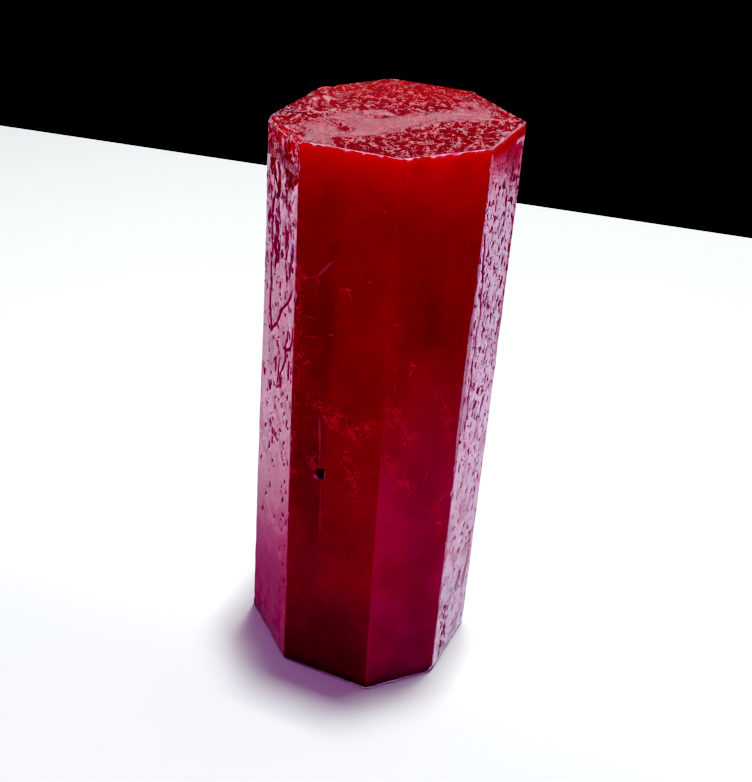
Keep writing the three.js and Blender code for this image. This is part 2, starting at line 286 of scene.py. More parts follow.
@dataclass(frozen=True)
class Relief:
    """Everything that time and growth have cut into the flat faces of the prism, and where light is painted
    on them: the sheen of the top, a sparkle at its rim, and a purple reflection low on the sides.
    """

    edge_chips: tuple[EdgeChip, ...] = (
        EdgeChip(0, 1.4, 0.9, 0.25),
        EdgeChip(3, 0.0, 1.2, 0.3),
        EdgeChip(3, 23.4, 0.9, 0.15),
        EdgeChip(1, 43.4, 0.9, 0.15),
        EdgeChip(4, 0.2, 1.6, 0.3),
        EdgeChip(6, 40.5, 2.0, 0.5),
        EdgeChip(7, 3.0, 1.8, 0.5),
        EdgeChip(5, 17.0, 1.4, 0.35),
    )
    rim_chips: tuple[RimChip, ...] = (
        RimChip(3, -1.4, 1.0, 0.4),
        RimChip(2, -4.1, 0.7, 0.12),
        RimChip(2, 0.3, 0.7, 0.25),
        RimChip(0, 1.6, 1.1, 0.3),
        RimChip(6, 1.0, 1.3, 0.3),
        RimChip(5, -2.0, 1.0, 0.25),
    )
    pits: tuple[Pit, ...] = (
        Pit(1, -0.65, 25.3, 0.5, 0.6, 1.1),
        Pit(1, -1.3, 26.5, 0.3, 0.6, 0.3),
        Pit(0, -0.54, 45.4, 0.2, 0.8, 0.24),
        Pit(0, 0.65, 46.1, 0.24, 0.4, 0.2),
        Pit(0, 1.5, 47.8, 0.2, 1.1, 0.24),
        Pit(0, 3.1, 47.2, 0.26, 1.0, 0.26),
        Pit(0, 0.45, 42.9, 0.2, 0.36, 0.2),
        Pit(0, 0.5, 42.0, 0.15, 0.2, 0.14),
        Pit(0, -0.2, 34.2, 0.14, 0.9, 0.16),
        Pit(0, 3.2, 35.2, 0.18, 1.1, 0.2),
        Pit(0, -1.25, 31.3, 0.2, 0.6, 0.18),
        Pit(0, 1.4, 33.0, 0.22, 0.6, 0.18),
        Pit(0, -3.0, 31.9, 0.2, 0.4, 0.16),
        Pit(0, -0.3, 26.4, 0.14, 0.5, 0.14),
        Pit(0, 0.2, 26.4, 0.14, 0.5, 0.14),
        Pit(0, 0.7, 26.4, 0.14, 0.5, 0.14),
        Pit(4, 1.5, 36.0, 0.6, 0.8, 0.7),
        Pit(6, -2.4, 21.0, 0.5, 0.6, 0.6),
    )
    fields: tuple[PitField, ...] = (
        PitField(0, 24, (-1.6, 4.3), (44.5, 56.4), (0.12, 0.22), (0.4, 1.4), (0.1, 0.18), 0.3),
        PitField(0, 14, (-4.6, -2.4), (40.0, 56.4), (0.1, 0.2), (0.3, 0.9), (0.06, 0.14), 0.1),
        PitField(0, 16, (-4.2, 3.6), (31.0, 43.5), (0.1, 0.2), (0.15, 0.4), (0.08, 0.14), 0.1),
        PitField(0, 16, (-2.6, 3.6), (24.0, 32.5), (0.12, 0.26), (0.2, 0.8), (0.08, 0.16), 0.3),
        PitField(0, 24, (2.6, 4.5), (9.0, 40.0), (0.1, 0.2), (0.2, 0.6), (0.06, 0.14), 0.2),
        PitField(0, 16, (-4.2, 3.6), (15.0, 32.0), (0.12, 0.22), (0.2, 0.5), (0.06, 0.14), 0.3),
        PitField(3, 80, (-3.0, 4.3), (30.0, 54.5), (0.12, 0.26), (0.2, 0.45), (0.08, 0.16), 0.25),
        PitField(3, 40, (-3.0, 4.2), (13.0, 31.0), (0.1, 0.2), (0.2, 0.5), (0.06, 0.13), 0.1),
        PitField(3, 16, (-4.3, -3.2), (13.0, 48.0), (0.08, 0.14), (0.3, 0.9), (0.06, 0.12)),
        PitField(3, 14, (-4.4, -2.6), (0.8, 8.0), (0.2, 0.36), (0.3, 0.7), (0.08, 0.16)),
        PitField(4, 70, (-4.0, 4.0), (6.0, 54.0), (0.2, 0.45), (0.4, 1.4), (0.08, 0.17), 0.2),
        PitField(7, 70, (-3.6, 3.6), (6.0, 55.0), (0.2, 0.45), (0.5, 1.8), (0.08, 0.18), 0.25),
        PitField(5, 26, (-4.2, 4.2), (5.0, 55.0), (0.15, 0.35), (0.2, 0.6), (0.06, 0.14)),
        PitField(6, 26, (-4.2, 4.2), (5.0, 55.0), (0.15, 0.35), (0.2, 0.6), (0.06, 0.14)),
    )
    grooves: tuple[Groove, ...] = (
        Groove(0, ((-2.4, 51.5), (-1.95, 46.5), (-1.9, 42.5), (-1.95, 39.0), (-1.4, 37.3)), 0.22, 0.16),
        Groove(0, ((-1.4, 37.3), (0.9, 40.4), (3.3, 43.4)), 0.17, 0.08),
        Groove(0, ((3.9, 39.9), (3.4, 37.6), (2.4, 36.9)), 0.18, 0.1),
        Groove(0, ((2.5, 39.2), (2.1, 36.0), (1.05, 33.2)), 0.16, 0.1),
        Groove(0, ((0.2, 36.8), (0.7, 34.6), (0.5, 32.6)), 0.12, 0.08),
        Groove(
            3,
            ((-3.95, 50.3), (-3.3, 46.0), (-2.9, 42.2), (-3.3, 39.7), (-3.5, 35.1), (-3.6, 30.0)),
            0.14,
            0.12,
        ),
        Groove(7, ((-1.0, 50.0), (0.4, 36.0), (-0.6, 24.0)), 0.25, 0.18),
        Groove(4, ((2.2, 46.0), (1.4, 33.0), (2.4, 20.0)), 0.2, 0.14),
    )
    ledges: tuple[Ledge, ...] = (
        Ledge(0, 0.05, ((-5, 57), (-2.6, 57), (-2.1, 44), (-1.7, 37.6), (3.2, 43.8), (2.6, 36), (-5, 26))),
        Ledge(3, 0.1, ((1.4, 50), (2.0, 57), (6, 57), (6, 33), (2.6, 36), (2.1, 43))),
        Ledge(3, 0.12, ((-3.6, 9.5), (-0.6, 7.6), (0.4, 9.8), (1.4, 6.4), (2.6, 10), (2.2, 14), (-3.2, 15))),
        Ledge(4, 0.18, ((-6, 12), (-2.2, 13), (-1.4, 24), (-2.6, 31), (-6, 34))),
        Ledge(5, 0.2, ((1.4, 58), (2.0, 46), (3.1, 41), (6, 39), (6, 58))),
        Ledge(7, 0.18, ((-1.0, 6), (0.6, 18), (-0.4, 30), (1.6, 33), (2.8, 16), (2.4, 5))),
    )
    strips: tuple[Strip, ...] = (
        Strip(3, 0.7, 26, 45),
        Strip(6, 0.8, 10, 31),
        Strip(0, 0.7, 30, 52),
    )
    veils: tuple[tuple[int, HazePatch], ...] = (
        (1, HazePatch((-1.4, 33.4), (0.2, 31.6), 0.9)),
        (1, HazePatch((0.2, 31.8), (2.6, 31.0), 1.0)),
        (1, HazePatch((2.8, 31.0), (4.0, 32.4), 0.7)),
        (1, HazePatch((-1.6, 27.4), (-1.2, 26.0), 0.5)),
        (1, HazePatch((-3.9, 46.0), (-3.9, 24.0), 0.55)),
        (1, HazePatch((-3.4, 37.6), (-2.6, 37.2), 0.8)),
        (1, HazePatch((0.8, 45.4), (1.6, 45.2), 0.5)),
        (1, HazePatch((2.0, 28.6), (3.4, 24.0), 0.7)),
        (2, HazePatch((-2.4, 38.6), (-2.1, 38.1), 0.5)),
        (2, HazePatch((-3.8, 34.0), (-2.2, 30.6), 0.9)),
        (2, HazePatch((-4.2, 28.6), (-1.8, 25.0), 0.9)),
        (2, HazePatch((1.6, 22.0), (2.8, 19.0), 0.7)),
        (2, HazePatch((1.0, 35.0), (2.6, 30.0), 0.5)),
    )
    # The outline of the dull patch of the top, where the finish paints a sheen.
    sheen: tuple[tuple[float, float], ...] = (
        (-8.5, -3.3), (-7.5, -3.0), (-6.5, -0.8), (-5.6, -0.2), (-4.6, 0.5), (-3.2, 0.9),
        (-1.4, 1.6), (0.2, 0.4), (1.7, 1.2), (3.9, 1.9), (5.4, 3.4), (5.4, 5.3), (7.0, 5.8),
        (8.7, 3.4), (8.8, 0.1), (8.0, -0.8), (5.4, -0.9), (3.9, -1.4), (2.8, -2.1),
        (1.7, -3.2), (0.3, -4.2), (-1.7, -5.7), (-3.3, -6.7), (-5.4, -7.0), (-4.8, -9.1),
        (-5.8, -9.3), (-7.8, -8.0),
    )
    film_gaps: tuple[HazePatch, ...] = (
        HazePatch((-6.0, -2.1), (-5.4, -2.6), 0.3),
        HazePatch((-5.3, -3.1), (-4.6, -4.8), 0.3),
        HazePatch((-2.9, -0.4), (-1.2, -0.4), 0.3),
        HazePatch((6.6, 3.4), (7.0, 2.8), 0.2),
    )
    clean_edge: int = 2  # the upright edge at the front, which has no small chips
    small_chips_per_edge: int = 14
    small_edge_radius: tuple[float, float] = (0.3, 0.8)
    small_edge_bite: tuple[float, float] = (0.03, 0.13)
    small_chips_per_rim: int = 9
    small_rim_stretch: float = 8.6  # the length of each face's rim that they are spread over
    small_rim_radius: tuple[float, float] = (0.3, 0.7)
    small_rim_bite: tuple[float, float] = (0.06, 0.2)
    edge_raggedness: float = 0.55  # how far the bevels' widths swell and shrink
    rim_raggedness: float = 0.75
    crater_middle: tuple[float, float] = (-7.0, 2.4)  # of the shallow oval crater in the top
    crater_half: tuple[float, float] = (1.3, 2.45)
    sparkle: tuple[float, float] = (9.7, -3.8)  # a painted sparkle at the rim of the top
    sparkle_reach: float = 0.6
    ribbing: tuple[float, float] = (41.0, 50.0)  # heights over which face 0 grows ribbed
    # Parts of the body where a purple reflection of the shaded table is painted: the face, the height they
    # start at going down, and their strength.
    plum_reflection_parts: tuple[tuple[int, float, float], ...] = (
        (0, 34.0, 1.0), (1, 30.0, 0.3), (2, 44.0, 1.0), (3, 58.0, 0.6), (7, 40.0, 0.8),
    )
    plum_reflection_fade: float = 28.0  # millimetres over which they reach full strength


PAINT = ("top", "etched", "worn", "mark", "haze", "shade", "plum", "ribbed")


@dataclass(frozen=True)
class Skin:
    """The points of the crystal's surface while it is being cut, one row per vertex.

    point: the place in millimetres. face: the index of the side face it belongs to.
    along: the way along that face. side: 1 on the side faces, 0 on the top and the foot.
    top: 1 on the top face. etched: how strongly the skin is etched. worn: how far wear has
    gone, up to 1 on bevels and chips, where a glint is painted. mark: 1 inside pits and grooves,
    below 0 on their lips and on the painted highlights of the top. haze: 1 under the dull patch
    of the top, where a sheen is painted, and in the feathers of the front faces. shade: how
    bright the body is, mottled and with painted shade at the foot. plum: how far a painted
    reflection of the shaded table turns its colour purple. ribbed: how strongly upright curled
    strokes mark it.
    """

    point: Array
    face: Array
    along: Array
    side: Array
    top: Array
    etched: Array
    worn: Array
    mark: Array
    haze: Array
    shade: Array
    plum: Array
    ribbed: Array

    @property
    def on_face(self) -> Array:
        """Each point's place on its side face: the way along it, and the height."""
        return np.stack([self.along, self.point[:, 2]], axis=-1)

    def paint(self) -> dict[str, Array]:
        """The numbers that the finish reads, by name."""
        return {name: getattr(self, name) for name in PAINT}


@dataclass
class CrystalForm:
    """The closed surface of the crystal, worked out as one grid that runs round and up.

    Columns run round the prism and rows run from the foot's middle, out to the foot's edge,
    up the side faces, over the worn rim and in across the top to its middle.
    """

    height: float
    faces: tuple[SideFace, ...] = FACES
    relief: Relief = field(default_factory=Relief)
    top_rise: tuple[float, float] = (1.83, 0.58)  # degrees of rise of the top along +X and +Y
    foot_rings: tuple[float, ...] = (0.5, 0.94)
    side_rows: int = 196
    rim_rows: int = 5
    top_rings: int = 44
    crowding: float = 0.62  # how strongly the columns crowd towards the upright edges
    foot_bevel: float = 0.16

    # ---- places on the prism ----

    def corner(self, k: int, z: Array) -> Array:
        """The corner between faces k - 1 and k at heights z: where their two planes cross."""
        a, b = self.faces[k - 1], self.faces[k % len(self.faces)]
        ta, tb = math.radians(a.azimuth), math.radians(b.azimuth)
        da, db = a.distance(z, self.height), b.distance(z, self.height)
        turn = math.sin(tb - ta)
        x = (da * math.sin(tb) - db * math.sin(ta)) / turn
        y = (db * math.cos(ta) - da * math.cos(tb)) / turn
        return np.stack([x, y, z], axis=-1)

    def top_height(self, x: Array, y: Array) -> Array:
        """The height of the top plane over a point."""
        rise_x, rise_y = (math.tan(math.radians(r)) for r in self.top_rise)
        return self.height + rise_x * x + rise_y * y

    def edge_outward(self, k: int) -> Array:
        """The unit vector that points out between the two faces of edge k."""
        out = self.faces[k - 1].normal + self.faces[k].normal
        return out / np.linalg.norm(out)

    # ---- the plain grid ----

    def columns(self) -> tuple[Array, Array]:
        """For each column, its face and its share of the way across it.

        The share is t - c sin(2 pi t) / (2 pi), which crowds columns towards both edges.
        """
        face, share = [], []
        for k, side in enumerate(self.faces):
            t = np.arange(side.columns) / side.columns
            face.append(np.full(side.columns, k))
            share.append(t - self.crowding * np.sin(2 * np.pi * t) / (2 * np.pi))
        return np.concatenate(face), np.concatenate(share)

    def ring(self, z: Array, face: Array, share: Array) -> Array:
        """Points of the sharp prism at height z of each column, straight from corner to corner."""
        count = len(self.faces)
        low = np.stack([self.corner(k, z) for k in range(count)])
        at = np.arange(len(z))
        start, end = low[face, at], low[(face + 1) % count, at]
        return start + (end - start) * share[:, None]

    def grid(self) -> Skin:
        """The sharp prism as a grid of rows by columns, flattened, without its two middle points."""
        face, share = self.columns()
        count = len(face)
        rim = np.array([side.rim for side in self.faces])[face] * 0.5
        top = self.ring(np.full(count, self.height), face, share)
        ceiling = self.top_height(top[:, 0], top[:, 1])
        rows, side, cap = [], [], []
        foot = self.ring(np.zeros(count), face, share)
        for ring in self.foot_rings:
            rows.append(foot * [ring, ring, 1.0])
            side.append(0.0)
            cap.append(0.0)
        for t in np.linspace(0.0, 1.0, self.side_rows):
            rows.append(self.ring(t * (ceiling - rim), face, share))
            side.append(1.0)
            cap.append(0.0)
        for t in np.linspace(0.0, 1.0, self.rim_rows + 2)[1:-1]:
            rows.append(self.ring(ceiling - rim * (1.0 - t), face, share))
            side.append(1.0)
            cap.append(0.0)
        for t in np.linspace(1.0, 0.0, self.top_rings + 1)[:-1]:
            inner = top * [t, t, 1.0]
            inner[:, 2] = self.top_height(inner[:, 0], inner[:, 1])
            rows.append(inner)
            side.append(0.0)
            cap.append(1.0)
        points = np.concatenate(rows)
        none = np.zeros(len(points))
        faces = np.tile(face, len(rows))
        tangent = np.stack([f.along for f in self.faces])[faces]
        sides = np.repeat(side, count)
        etch = np.array([f.etch for f in self.faces])[faces]
        return Skin(
            point=points,
            face=faces,
            along=np.einsum("ij,ij->i", points, tangent),
            side=sides,
            top=np.repeat(cap, count),
            etched=etch * sides * self.calm(points, faces),
            worn=none,
            mark=none,
            haze=none,
            shade=none + 1.0,
            plum=none,
            ribbed=none,
        )

    def calm(self, p: Array, face: Array) -> Array:
        """0 close under the top, where the etching stops, growing to 1 lower: slowly on face 0."""
        below = self.top_height(p[:, 0], p[:, 1]) - p[:, 2]
        return smooth((below - 0.5) / np.where(face == 0, 10.0, 1.5))

    # ---- wear ----

    def bevel_edges(self, p: Array) -> Array:
        """Planes off every upright edge.

        A point is drawn back along the edge's outward direction by how far it stands over the
        bevel plane, which lies half the width times the tangent of half the turn inside the
        corner. The width swells and shrinks along the edge by noise.
        """
        for k in range(len(self.faces)):
            out = self.edge_outward(k)
            turn = np.arccos(np.clip(self.faces[k - 1].normal @ self.faces[k].normal, -1, 1))
            at = np.stack([np.full(len(p), 9.0 * k), np.zeros(len(p)), p[:, 2] / 2.6], axis=-1)
            width = self.faces[k].edge * (1.0 + self.relief.edge_raggedness * rough_noise(at, 40 + k))
            for strip in self.relief.strips:
                if strip.edge == k:
                    inside = smooth((p[:, 2] - strip.low) / 4.0) * smooth((strip.high - p[:, 2]) / 4.0)
                    width = width + (strip.width - width) * inside
            depth = width / 2 * math.tan(turn / 2)
            limit = self.corner(k, p[:, 2]) @ out - depth
            p = p - soft_over(p @ out - limit, 0.012)[:, None] * out
        return p

    def bevel_rim(self, p: Array) -> Array:
        """Planes off the top rim and the foot's edge in the same way, each ragged by noise."""
        rise_x, rise_y = (math.tan(math.radians(r)) for r in self.top_rise)
        top_normal = np.array([-rise_x, -rise_y, 1.0])
        top_normal /= np.linalg.norm(top_normal)
        for side in self.faces:
            for cap_normal, width in (
                (top_normal, side.rim),
                (np.array([0, 0, -1.0]), self.foot_bevel * 2),
            ):
                out = side.normal + cap_normal
                out /= np.linalg.norm(out)
                turn = math.acos(float(np.clip(side.normal @ cap_normal, -1, 1)))
                ragged = width * (1.0 + self.relief.rim_raggedness * rough_noise(p / [1.1, 1.1, 9.0], 70))
                # The rim's line: the point of both planes nearest the middle of the face.
                level = side.point(0.0, self.height if cap_normal[2] > 0 else 0.0, self.height)
                if cap_normal[2] > 0:
                    level[2] = self.top_height(level[0], level[1])
                limit = level @ out - ragged / 2 * math.tan(turn / 2)
                p = p - soft_over(p @ out - limit, 0.02)[:, None] * out
        return p

    def scoop(self, p: Array, centre: Array, radius: float, out: Array) -> Array:
        """Bites a ball out of the surface: points inside it go back along out to its far side.

        With q from the centre to the point, the way back is q.out + sqrt((q.out)^2 - q.q + r^2).
        """
        q = p - centre
        along = q @ out
        gap = radius**2 - np.einsum("ij,ij->i", q, q)
        back = np.where(gap > 0, along + np.sqrt(np.maximum(along**2 + gap, 0.0)), 0.0)
        return p - back[:, None] * out

    def chip_edges(self, p: Array) -> Array:
        """The marked chips, and a scatter of small ones on the rim and the upright edges."""
        cut = self.relief
        for chip in cut.edge_chips:
            p = self.chip_at_edge(p, chip)
        total = cut.small_chips_per_edge * len(self.faces)
        place, size, depth = (scatter(total, step) for step in (STEP_A, STEP_B, STEP_C))
        radius, bite = between(size, cut.small_edge_radius), between(depth, cut.small_edge_bite)
        for n in range(total):
            edge, step = divmod(n, cut.small_chips_per_edge)
            z = self.height * (step + 0.15 + 0.7 * place[n]) / cut.small_chips_per_edge
            if edge != cut.clean_edge:
                p = self.chip_at_edge(p, EdgeChip(edge, z, radius[n], bite[n]))
        for chip in cut.rim_chips:
            p = self.chip_at_rim(p, chip)
        total = cut.small_chips_per_rim * len(self.faces)
        place, size, depth = (scatter(total, step) for step in (STEP_B, STEP_C, STEP_A))
        radius, bite = between(size, cut.small_rim_radius), between(depth, cut.small_rim_bite)
        for n in range(total):
            face, step = divmod(n, cut.small_chips_per_rim)
            share = (step + 0.15 + 0.7 * place[n]) / cut.small_chips_per_rim - 0.5
            p = self.chip_at_rim(p, RimChip(face, cut.small_rim_stretch * share, radius[n], bite[n]))
        return p

    def chip_at_edge(self, p: Array, chip: EdgeChip) -> Array:
        """One bite out of an upright edge."""
        out = self.edge_outward(chip.edge)
        corner = self.corner(chip.edge, np.array(chip.z))
        return self.scoop(p, corner + out * (chip.radius - chip.bite), chip.radius, out)

    def chip_at_rim(self, p: Array, chip: RimChip) -> Array:
        """One bite out of the top rim."""
        side = self.faces[chip.face]
        at = side.point(chip.along, self.height, self.height)
        at[2] = self.top_height(at[0], at[1])
        out = side.normal + np.array([0, 0, 1.0])
        out /= np.linalg.norm(out)
        return self.scoop(p, at + out * (chip.radius - chip.bite), chip.radius, out)

    # ---- growth and etching ----

    def ledge_depth(self, skin: Skin) -> Array:
        """How far the growth steps drop each point: depth inside their outlines, 0 outside.

        The step down is spread over 0.12 mm either side of the outline's nearest segment.
        """
        depth = np.zeros(len(skin.point))
        for ledge in self.relief.ledges:
            on = (skin.face == ledge.face) & (skin.side > 0)
            inside, gap = outline_distance(skin.on_face[on], np.array(ledge.outline, float))
            signed = np.where(inside, gap, -gap)
            depth[on] += ledge.depth * smooth((signed + 0.12) / 0.24)
        return depth

    def pit_depth(self, skin: Skin) -> tuple[Array, Array]:
        """Marked pits: each an elliptical bowl, depth times sqrt(1 - r^2) inside its rim.

        Returns:
            Their depth in millimetres, and 1 inside them, fading to 0 at their rims.
        """
        depth, mark = np.zeros(len(skin.point)), np.zeros(len(skin.point))
        for pit in self.relief.pits:
            r2 = (((skin.on_face - [pit.along, pit.z]) / [pit.width, pit.height]) ** 2).sum(axis=1)
            on = (skin.face == pit.face) & (skin.side > 0)
            depth = np.maximum(depth, np.where(on, pit.depth * np.sqrt(np.clip(1.0 - r2, 0.0, 1.0)), 0.0))
            mark = np.maximum(mark, np.where(on, smooth((1.1 - r2) / 0.4), 0.0))
        return depth, mark

    def field_marks(self, skin: Skin) -> tuple[Array, Array]:
        """Scattered pits and the grooves.

        With r the distance from a pit's middle over its half size, or from a groove's line over
        its half width, the mark is smoothstep((1 - r) / 0.45) inside and dips below 0 on a thin
        lip round r = 1.3.

        Returns:
            Their depth in millimetres, and their marks from -1 to 1.
        """
        depth, mark, lips = (np.zeros(len(skin.point)) for _ in range(3))
        for number, pits in enumerate(self.relief.fields):
            on = np.flatnonzero((skin.face == pits.face) & (skin.side > 0))
            s, z = skin.along[on], skin.point[on, 2]
            n = np.arange(pits.count)
            jitter, sidestep, wide, tall, deep = (
                0.5 + 0.5 * hashed(n, n * 0 + number, n * 0, seed) for seed in range(5)
            )
            across = (n * STEP_A + 0.3 * sidestep) % 1.0
            sizes = zip(
                between(across, pits.along),
                between((n + jitter) / pits.count, pits.z),
                between(wide, pits.width),
                between(tall, pits.height),
                between(deep, pits.depth),
            )
            for at_s, at_z, width, height, drop in sizes:
                sway = pits.sway * np.sin((z - at_z) * 2.1 + 9.0 * at_s)
                r = np.hypot((s - at_s - sway) / width, (z - at_z) / height)
                self.press(on, r, drop, depth, mark, lips)
        for groove in self.relief.grooves:
            on = np.flatnonzero((skin.face == groove.face) & (skin.side > 0))
            here = skin.on_face[on]
            here[:, 0] += 0.14 * np.sin(here[:, 1] * 1.9)
            r = line_distance(here, groove.points) / groove.width
            self.press(on, r, groove.depth, depth, mark, lips)
        return depth, np.where(mark > 0.02, mark, -lips)

    def press(self, on: Array, r: Array, deep: float, depth: Array, mark: Array, lips: Array) -> None:
        """Adds one pit or groove to the vertices it may touch."""
        inside = smooth((1.0 - r) / 0.45)
        depth[on] = np.maximum(depth[on], deep * inside)
        mark[on] = np.maximum(mark[on], inside)
        lips[on] = np.maximum(lips[on], smooth(1.0 - np.abs(r - 1.3) / 0.3))

    def uneven_depth(self, skin: Skin) -> Array:
        """Slow unevenness of the side faces, and a faint upright ribbing where they are etched."""
        p = skin.point
        warp = 0.6 * rough_noise(p / [2.2, 2.2, 4.0], 11, 2)
        ribs = bell(rough_noise(p / [0.95, 0.95, 4.6] + warp[:, None], 21, 2), 0.2)
        slow = 0.5 + 0.5 * rough_noise(p / [3.5, 3.5, 7.0], 51, 2)
        return skin.side * (0.02 * slow + 0.02 * skin.etched * slow + 0.05 * skin.ribbed * ribs)

    def top_depth(self, p: Array, haze: Array) -> Array:
        """Relief of the top: short curled furrows over slow swells, and a round crater wall."""
        flat = p * [1.0, 1.0, 0.0]
        warp = 0.7 * rough_noise(flat / 2.0, 5, 2)
        curl = bell(rough_noise(flat / [1.2, 2.2, 1.0] + warp[:, None], 6, 2), 0.2)
        slow = 0.5 + 0.5 * rough_noise(flat / 4.0, 8, 2)
        crater = self.crater(p)
        wall = bell(crater - 1.0, 0.2)
        bowl = smooth((1.05 - crater) / 0.3)
        return 0.12 * curl * (1.0 - 0.85 * haze) + 0.1 * slow + 0.14 * bowl - 0.1 * wall

    def crater(self, p: Array) -> Array:
        """How far out of the oval crater each point of the top lies, 1 on its wall."""
        flat = (p[:, :2] - self.relief.crater_middle) / self.relief.crater_half
        return np.linalg.norm(flat, axis=1)

    def hazing(self, skin: Skin) -> Array:
        """The dull patch of the top, where the finish paints a sheen, and the feathers of the sides, as soft
        cover from 0 to 1.

        The cover is 0.5 on the outline of a patch and grows by 0.5 over a millimetre inwards;
        the finish cuts it off along its own fine curls.
        """
        flat = skin.point * [1.0, 1.0, 0.0]
        ragged = 0.5 * rough_noise(flat / [1.4, 2.4, 1.0], 91, 3)
        inside, gap = outline_distance(flat[:, :2], np.array(self.relief.sheen))
        cover = np.where(inside, gap, -gap)
        for patch in self.relief.film_gaps:
            away = line_distance(flat[:, :2], (patch.start, patch.end)) - patch.radius
            cover = np.minimum(cover, away)
        least = 0.34 * smooth((np.abs(flat[:, 0]) - 5.0) / 4.0)
        sheen = skin.top * np.clip(0.5 + 0.5 * (cover + ragged), least, 1.0)
        for face, patch in self.relief.veils:
            cover = patch.radius - line_distance(skin.on_face, (patch.start, patch.end))
            veil = np.clip(0.5 + 0.5 * (cover + 0.5 * rough_noise(skin.point / 0.8, 93, 2)), 0.0, 1.0)
            sheen = np.maximum(sheen, np.where((skin.face == face) & (skin.side > 0), veil, 0.0))
        return sheen

    def shading(self, skin: Skin) -> Array:
        """How bright the body is: slow mottling, and a painted shade that darkens the side faces towards the
        foot.
        """
        p = skin.point
        slow = rough_noise(p / [4.0, 4.0, 6.0], 61, 3)
        fine = rough_noise(p / [1.1, 1.1, 1.4], 71, 2)
        # Painted shade: darker over the lowest 14 mm of the sides, and darker still at the very foot.
        foot = (0.75 + 0.25 * smooth(p[:, 2] / 14.0)) * (0.5 + 0.5 * smooth(p[:, 2] / 1.6))
        return (1.0 + 0.2 * slow + 0.1 * fine) * np.where(skin.top > 0, 1.0, foot)

    def plum_reflection_share(self, skin: Skin) -> Array:
        """How far the painted purple reflection of the shaded table goes: more so low down on the front
        right and the left face.
        """
        share = np.zeros(len(skin.point))
        for face, top, strength in self.relief.plum_reflection_parts:
            low = smooth((top - skin.point[:, 2]) / self.relief.plum_reflection_fade)
            share = np.where(skin.face == face, strength * low, share)
        return share * skin.side * (0.8 + 0.4 * rough_noise(skin.point / 5.0, 81, 2))

    def wear(self, skin: Skin, moved: Array) -> Array:
        """How far wear has gone, from 0 to 1 where a point was moved by 0.03 to 0.08 mm; the finish paints a
        glint there.

        It is less on the wide bevel high on face 0, near the rim at the back, on the edge at
        the front, high beside the right edge, and at the very foot.

        Args:
            skin: The sharp prism.
            moved: How far the bevels and chips moved each point.

        Returns:
            The wear of each point.
        """
        z, side = skin.point[:, 2], skin.side > 0
        wide_bevel = (skin.face == 0) & (z > self.height - 3.0)
        rim_behind = (skin.face > 3) & (z > 54.0)
        from_edge = np.abs(skin.point @ (self.faces[1].along + self.faces[2].along))
        front_edge = (from_edge < 2.0) & np.isin(skin.face, (1, 2)) & side & (z < 57.4)
        right_edge = (((skin.face == 2) & (skin.along > 3.0)) | (skin.face == 3)) & side
        worn = smooth((moved - 0.03) / 0.05)
        worn *= np.where(wide_bevel, smooth((0.2 - moved) / 0.1), 1.0)
        worn *= np.where(rim_behind, 0.25, 1.0)
        worn *= np.where(front_edge, 0.05, 1.0)
        worn *= np.where(right_edge, 1.0 - 0.8 * smooth((z - 36.0) / 8.0), 1.0)
        return worn * smooth((z - 0.4) / 0.6)

    def bright_marks(self, p: Array) -> Array:
        """Painted highlights of the top: broken parts of the crater's wall, and a sparkle at the rim."""
        cut = self.relief
        broken = smooth(rough_noise(p / [0.9, 1.2, 9.0], 33, 2) * 2.0 + 0.9)
        ends = 1.5 * smooth((np.abs(p[:, 1] - cut.crater_middle[1]) - 0.4) / 0.8)
        away = np.linalg.norm(p[:, :2] - cut.sparkle, axis=1)
        sparkle = smooth(1.6 - away / cut.sparkle_reach) * smooth(rough_noise(p / 0.45, 35, 2) + 0.6)
        return np.maximum(bell(self.crater(p) - 1.0, 0.2) * broken * ends, sparkle)

    def build(self) -> Skin:
        """The finished surface: the sharp prism, worn, chipped, stepped, pitted and etched."""
        skin = self.grid()
        low, high = self.relief.ribbing
        ribbed = (skin.face == 0) * skin.side * smooth((skin.point[:, 2] - low) / (high - low))
        skin = replace(skin, ribbed=ribbed)
        p = self.chip_edges(self.bevel_rim(self.bevel_edges(skin.point)))
        moved = np.linalg.norm(p - skin.point, axis=1)
        clear = self.clearance(skin)
        etched, mark = self.field_marks(skin)
        bowls, holes = self.pit_depth(skin)
        haze = self.hazing(skin)
        bright = self.bright_marks(p)
        depth = (self.ledge_depth(skin) + etched + self.uneven_depth(skin)) * clear + bowls
        p = p - depth[:, None] * np.stack([f.normal for f in self.faces])[skin.face]
        sunk = self.top_depth(p, haze) * skin.top * self.rim_clearance(p)
        p = p - sunk[:, None] * np.array([0.0, 0.0, 1.0])
        return replace(
            skin,
            point=p,
            worn=self.wear(skin, moved),
            top=skin.top * smooth((0.3 - moved) / 0.15),
            mark=np.where(skin.top > 0, -bright, np.maximum(mark * clear, holes)),
            haze=haze,
            shade=self.shading(skin),
            plum=self.plum_reflection_share(skin),
        )

    def clearance(self, skin: Skin) -> Array:
        """1 in the middle of the side faces, fading to 0 at their upright edges, rim and foot."""
        p = skin.point
        gap = np.full(len(p), 9.0)
        for k in range(len(self.faces)):
            corner = self.corner(k, p[:, 2])
            gap = np.minimum(gap, np.linalg.norm((p - corner)[:, :2], axis=1))
        gap = np.minimum(gap, self.top_height(p[:, 0], p[:, 1]) - p[:, 2])
        gap = np.minimum(gap, p[:, 2])
        return smooth(gap / 0.5)

    def rim_clearance(self, p: Array) -> Array:
        """1 well inside the top face, fading to 0 at its rim."""
        gap = np.full(len(p), 9.0)
        for side in self.faces:
            a = math.radians(side.azimuth)
            gap = np.minimum(
                gap, side.distance(p[:, 2], self.height) - p[:, 0] * math.cos(a) - p[:, 1] * math.sin(a)
            )
        return smooth(gap / 0.6)


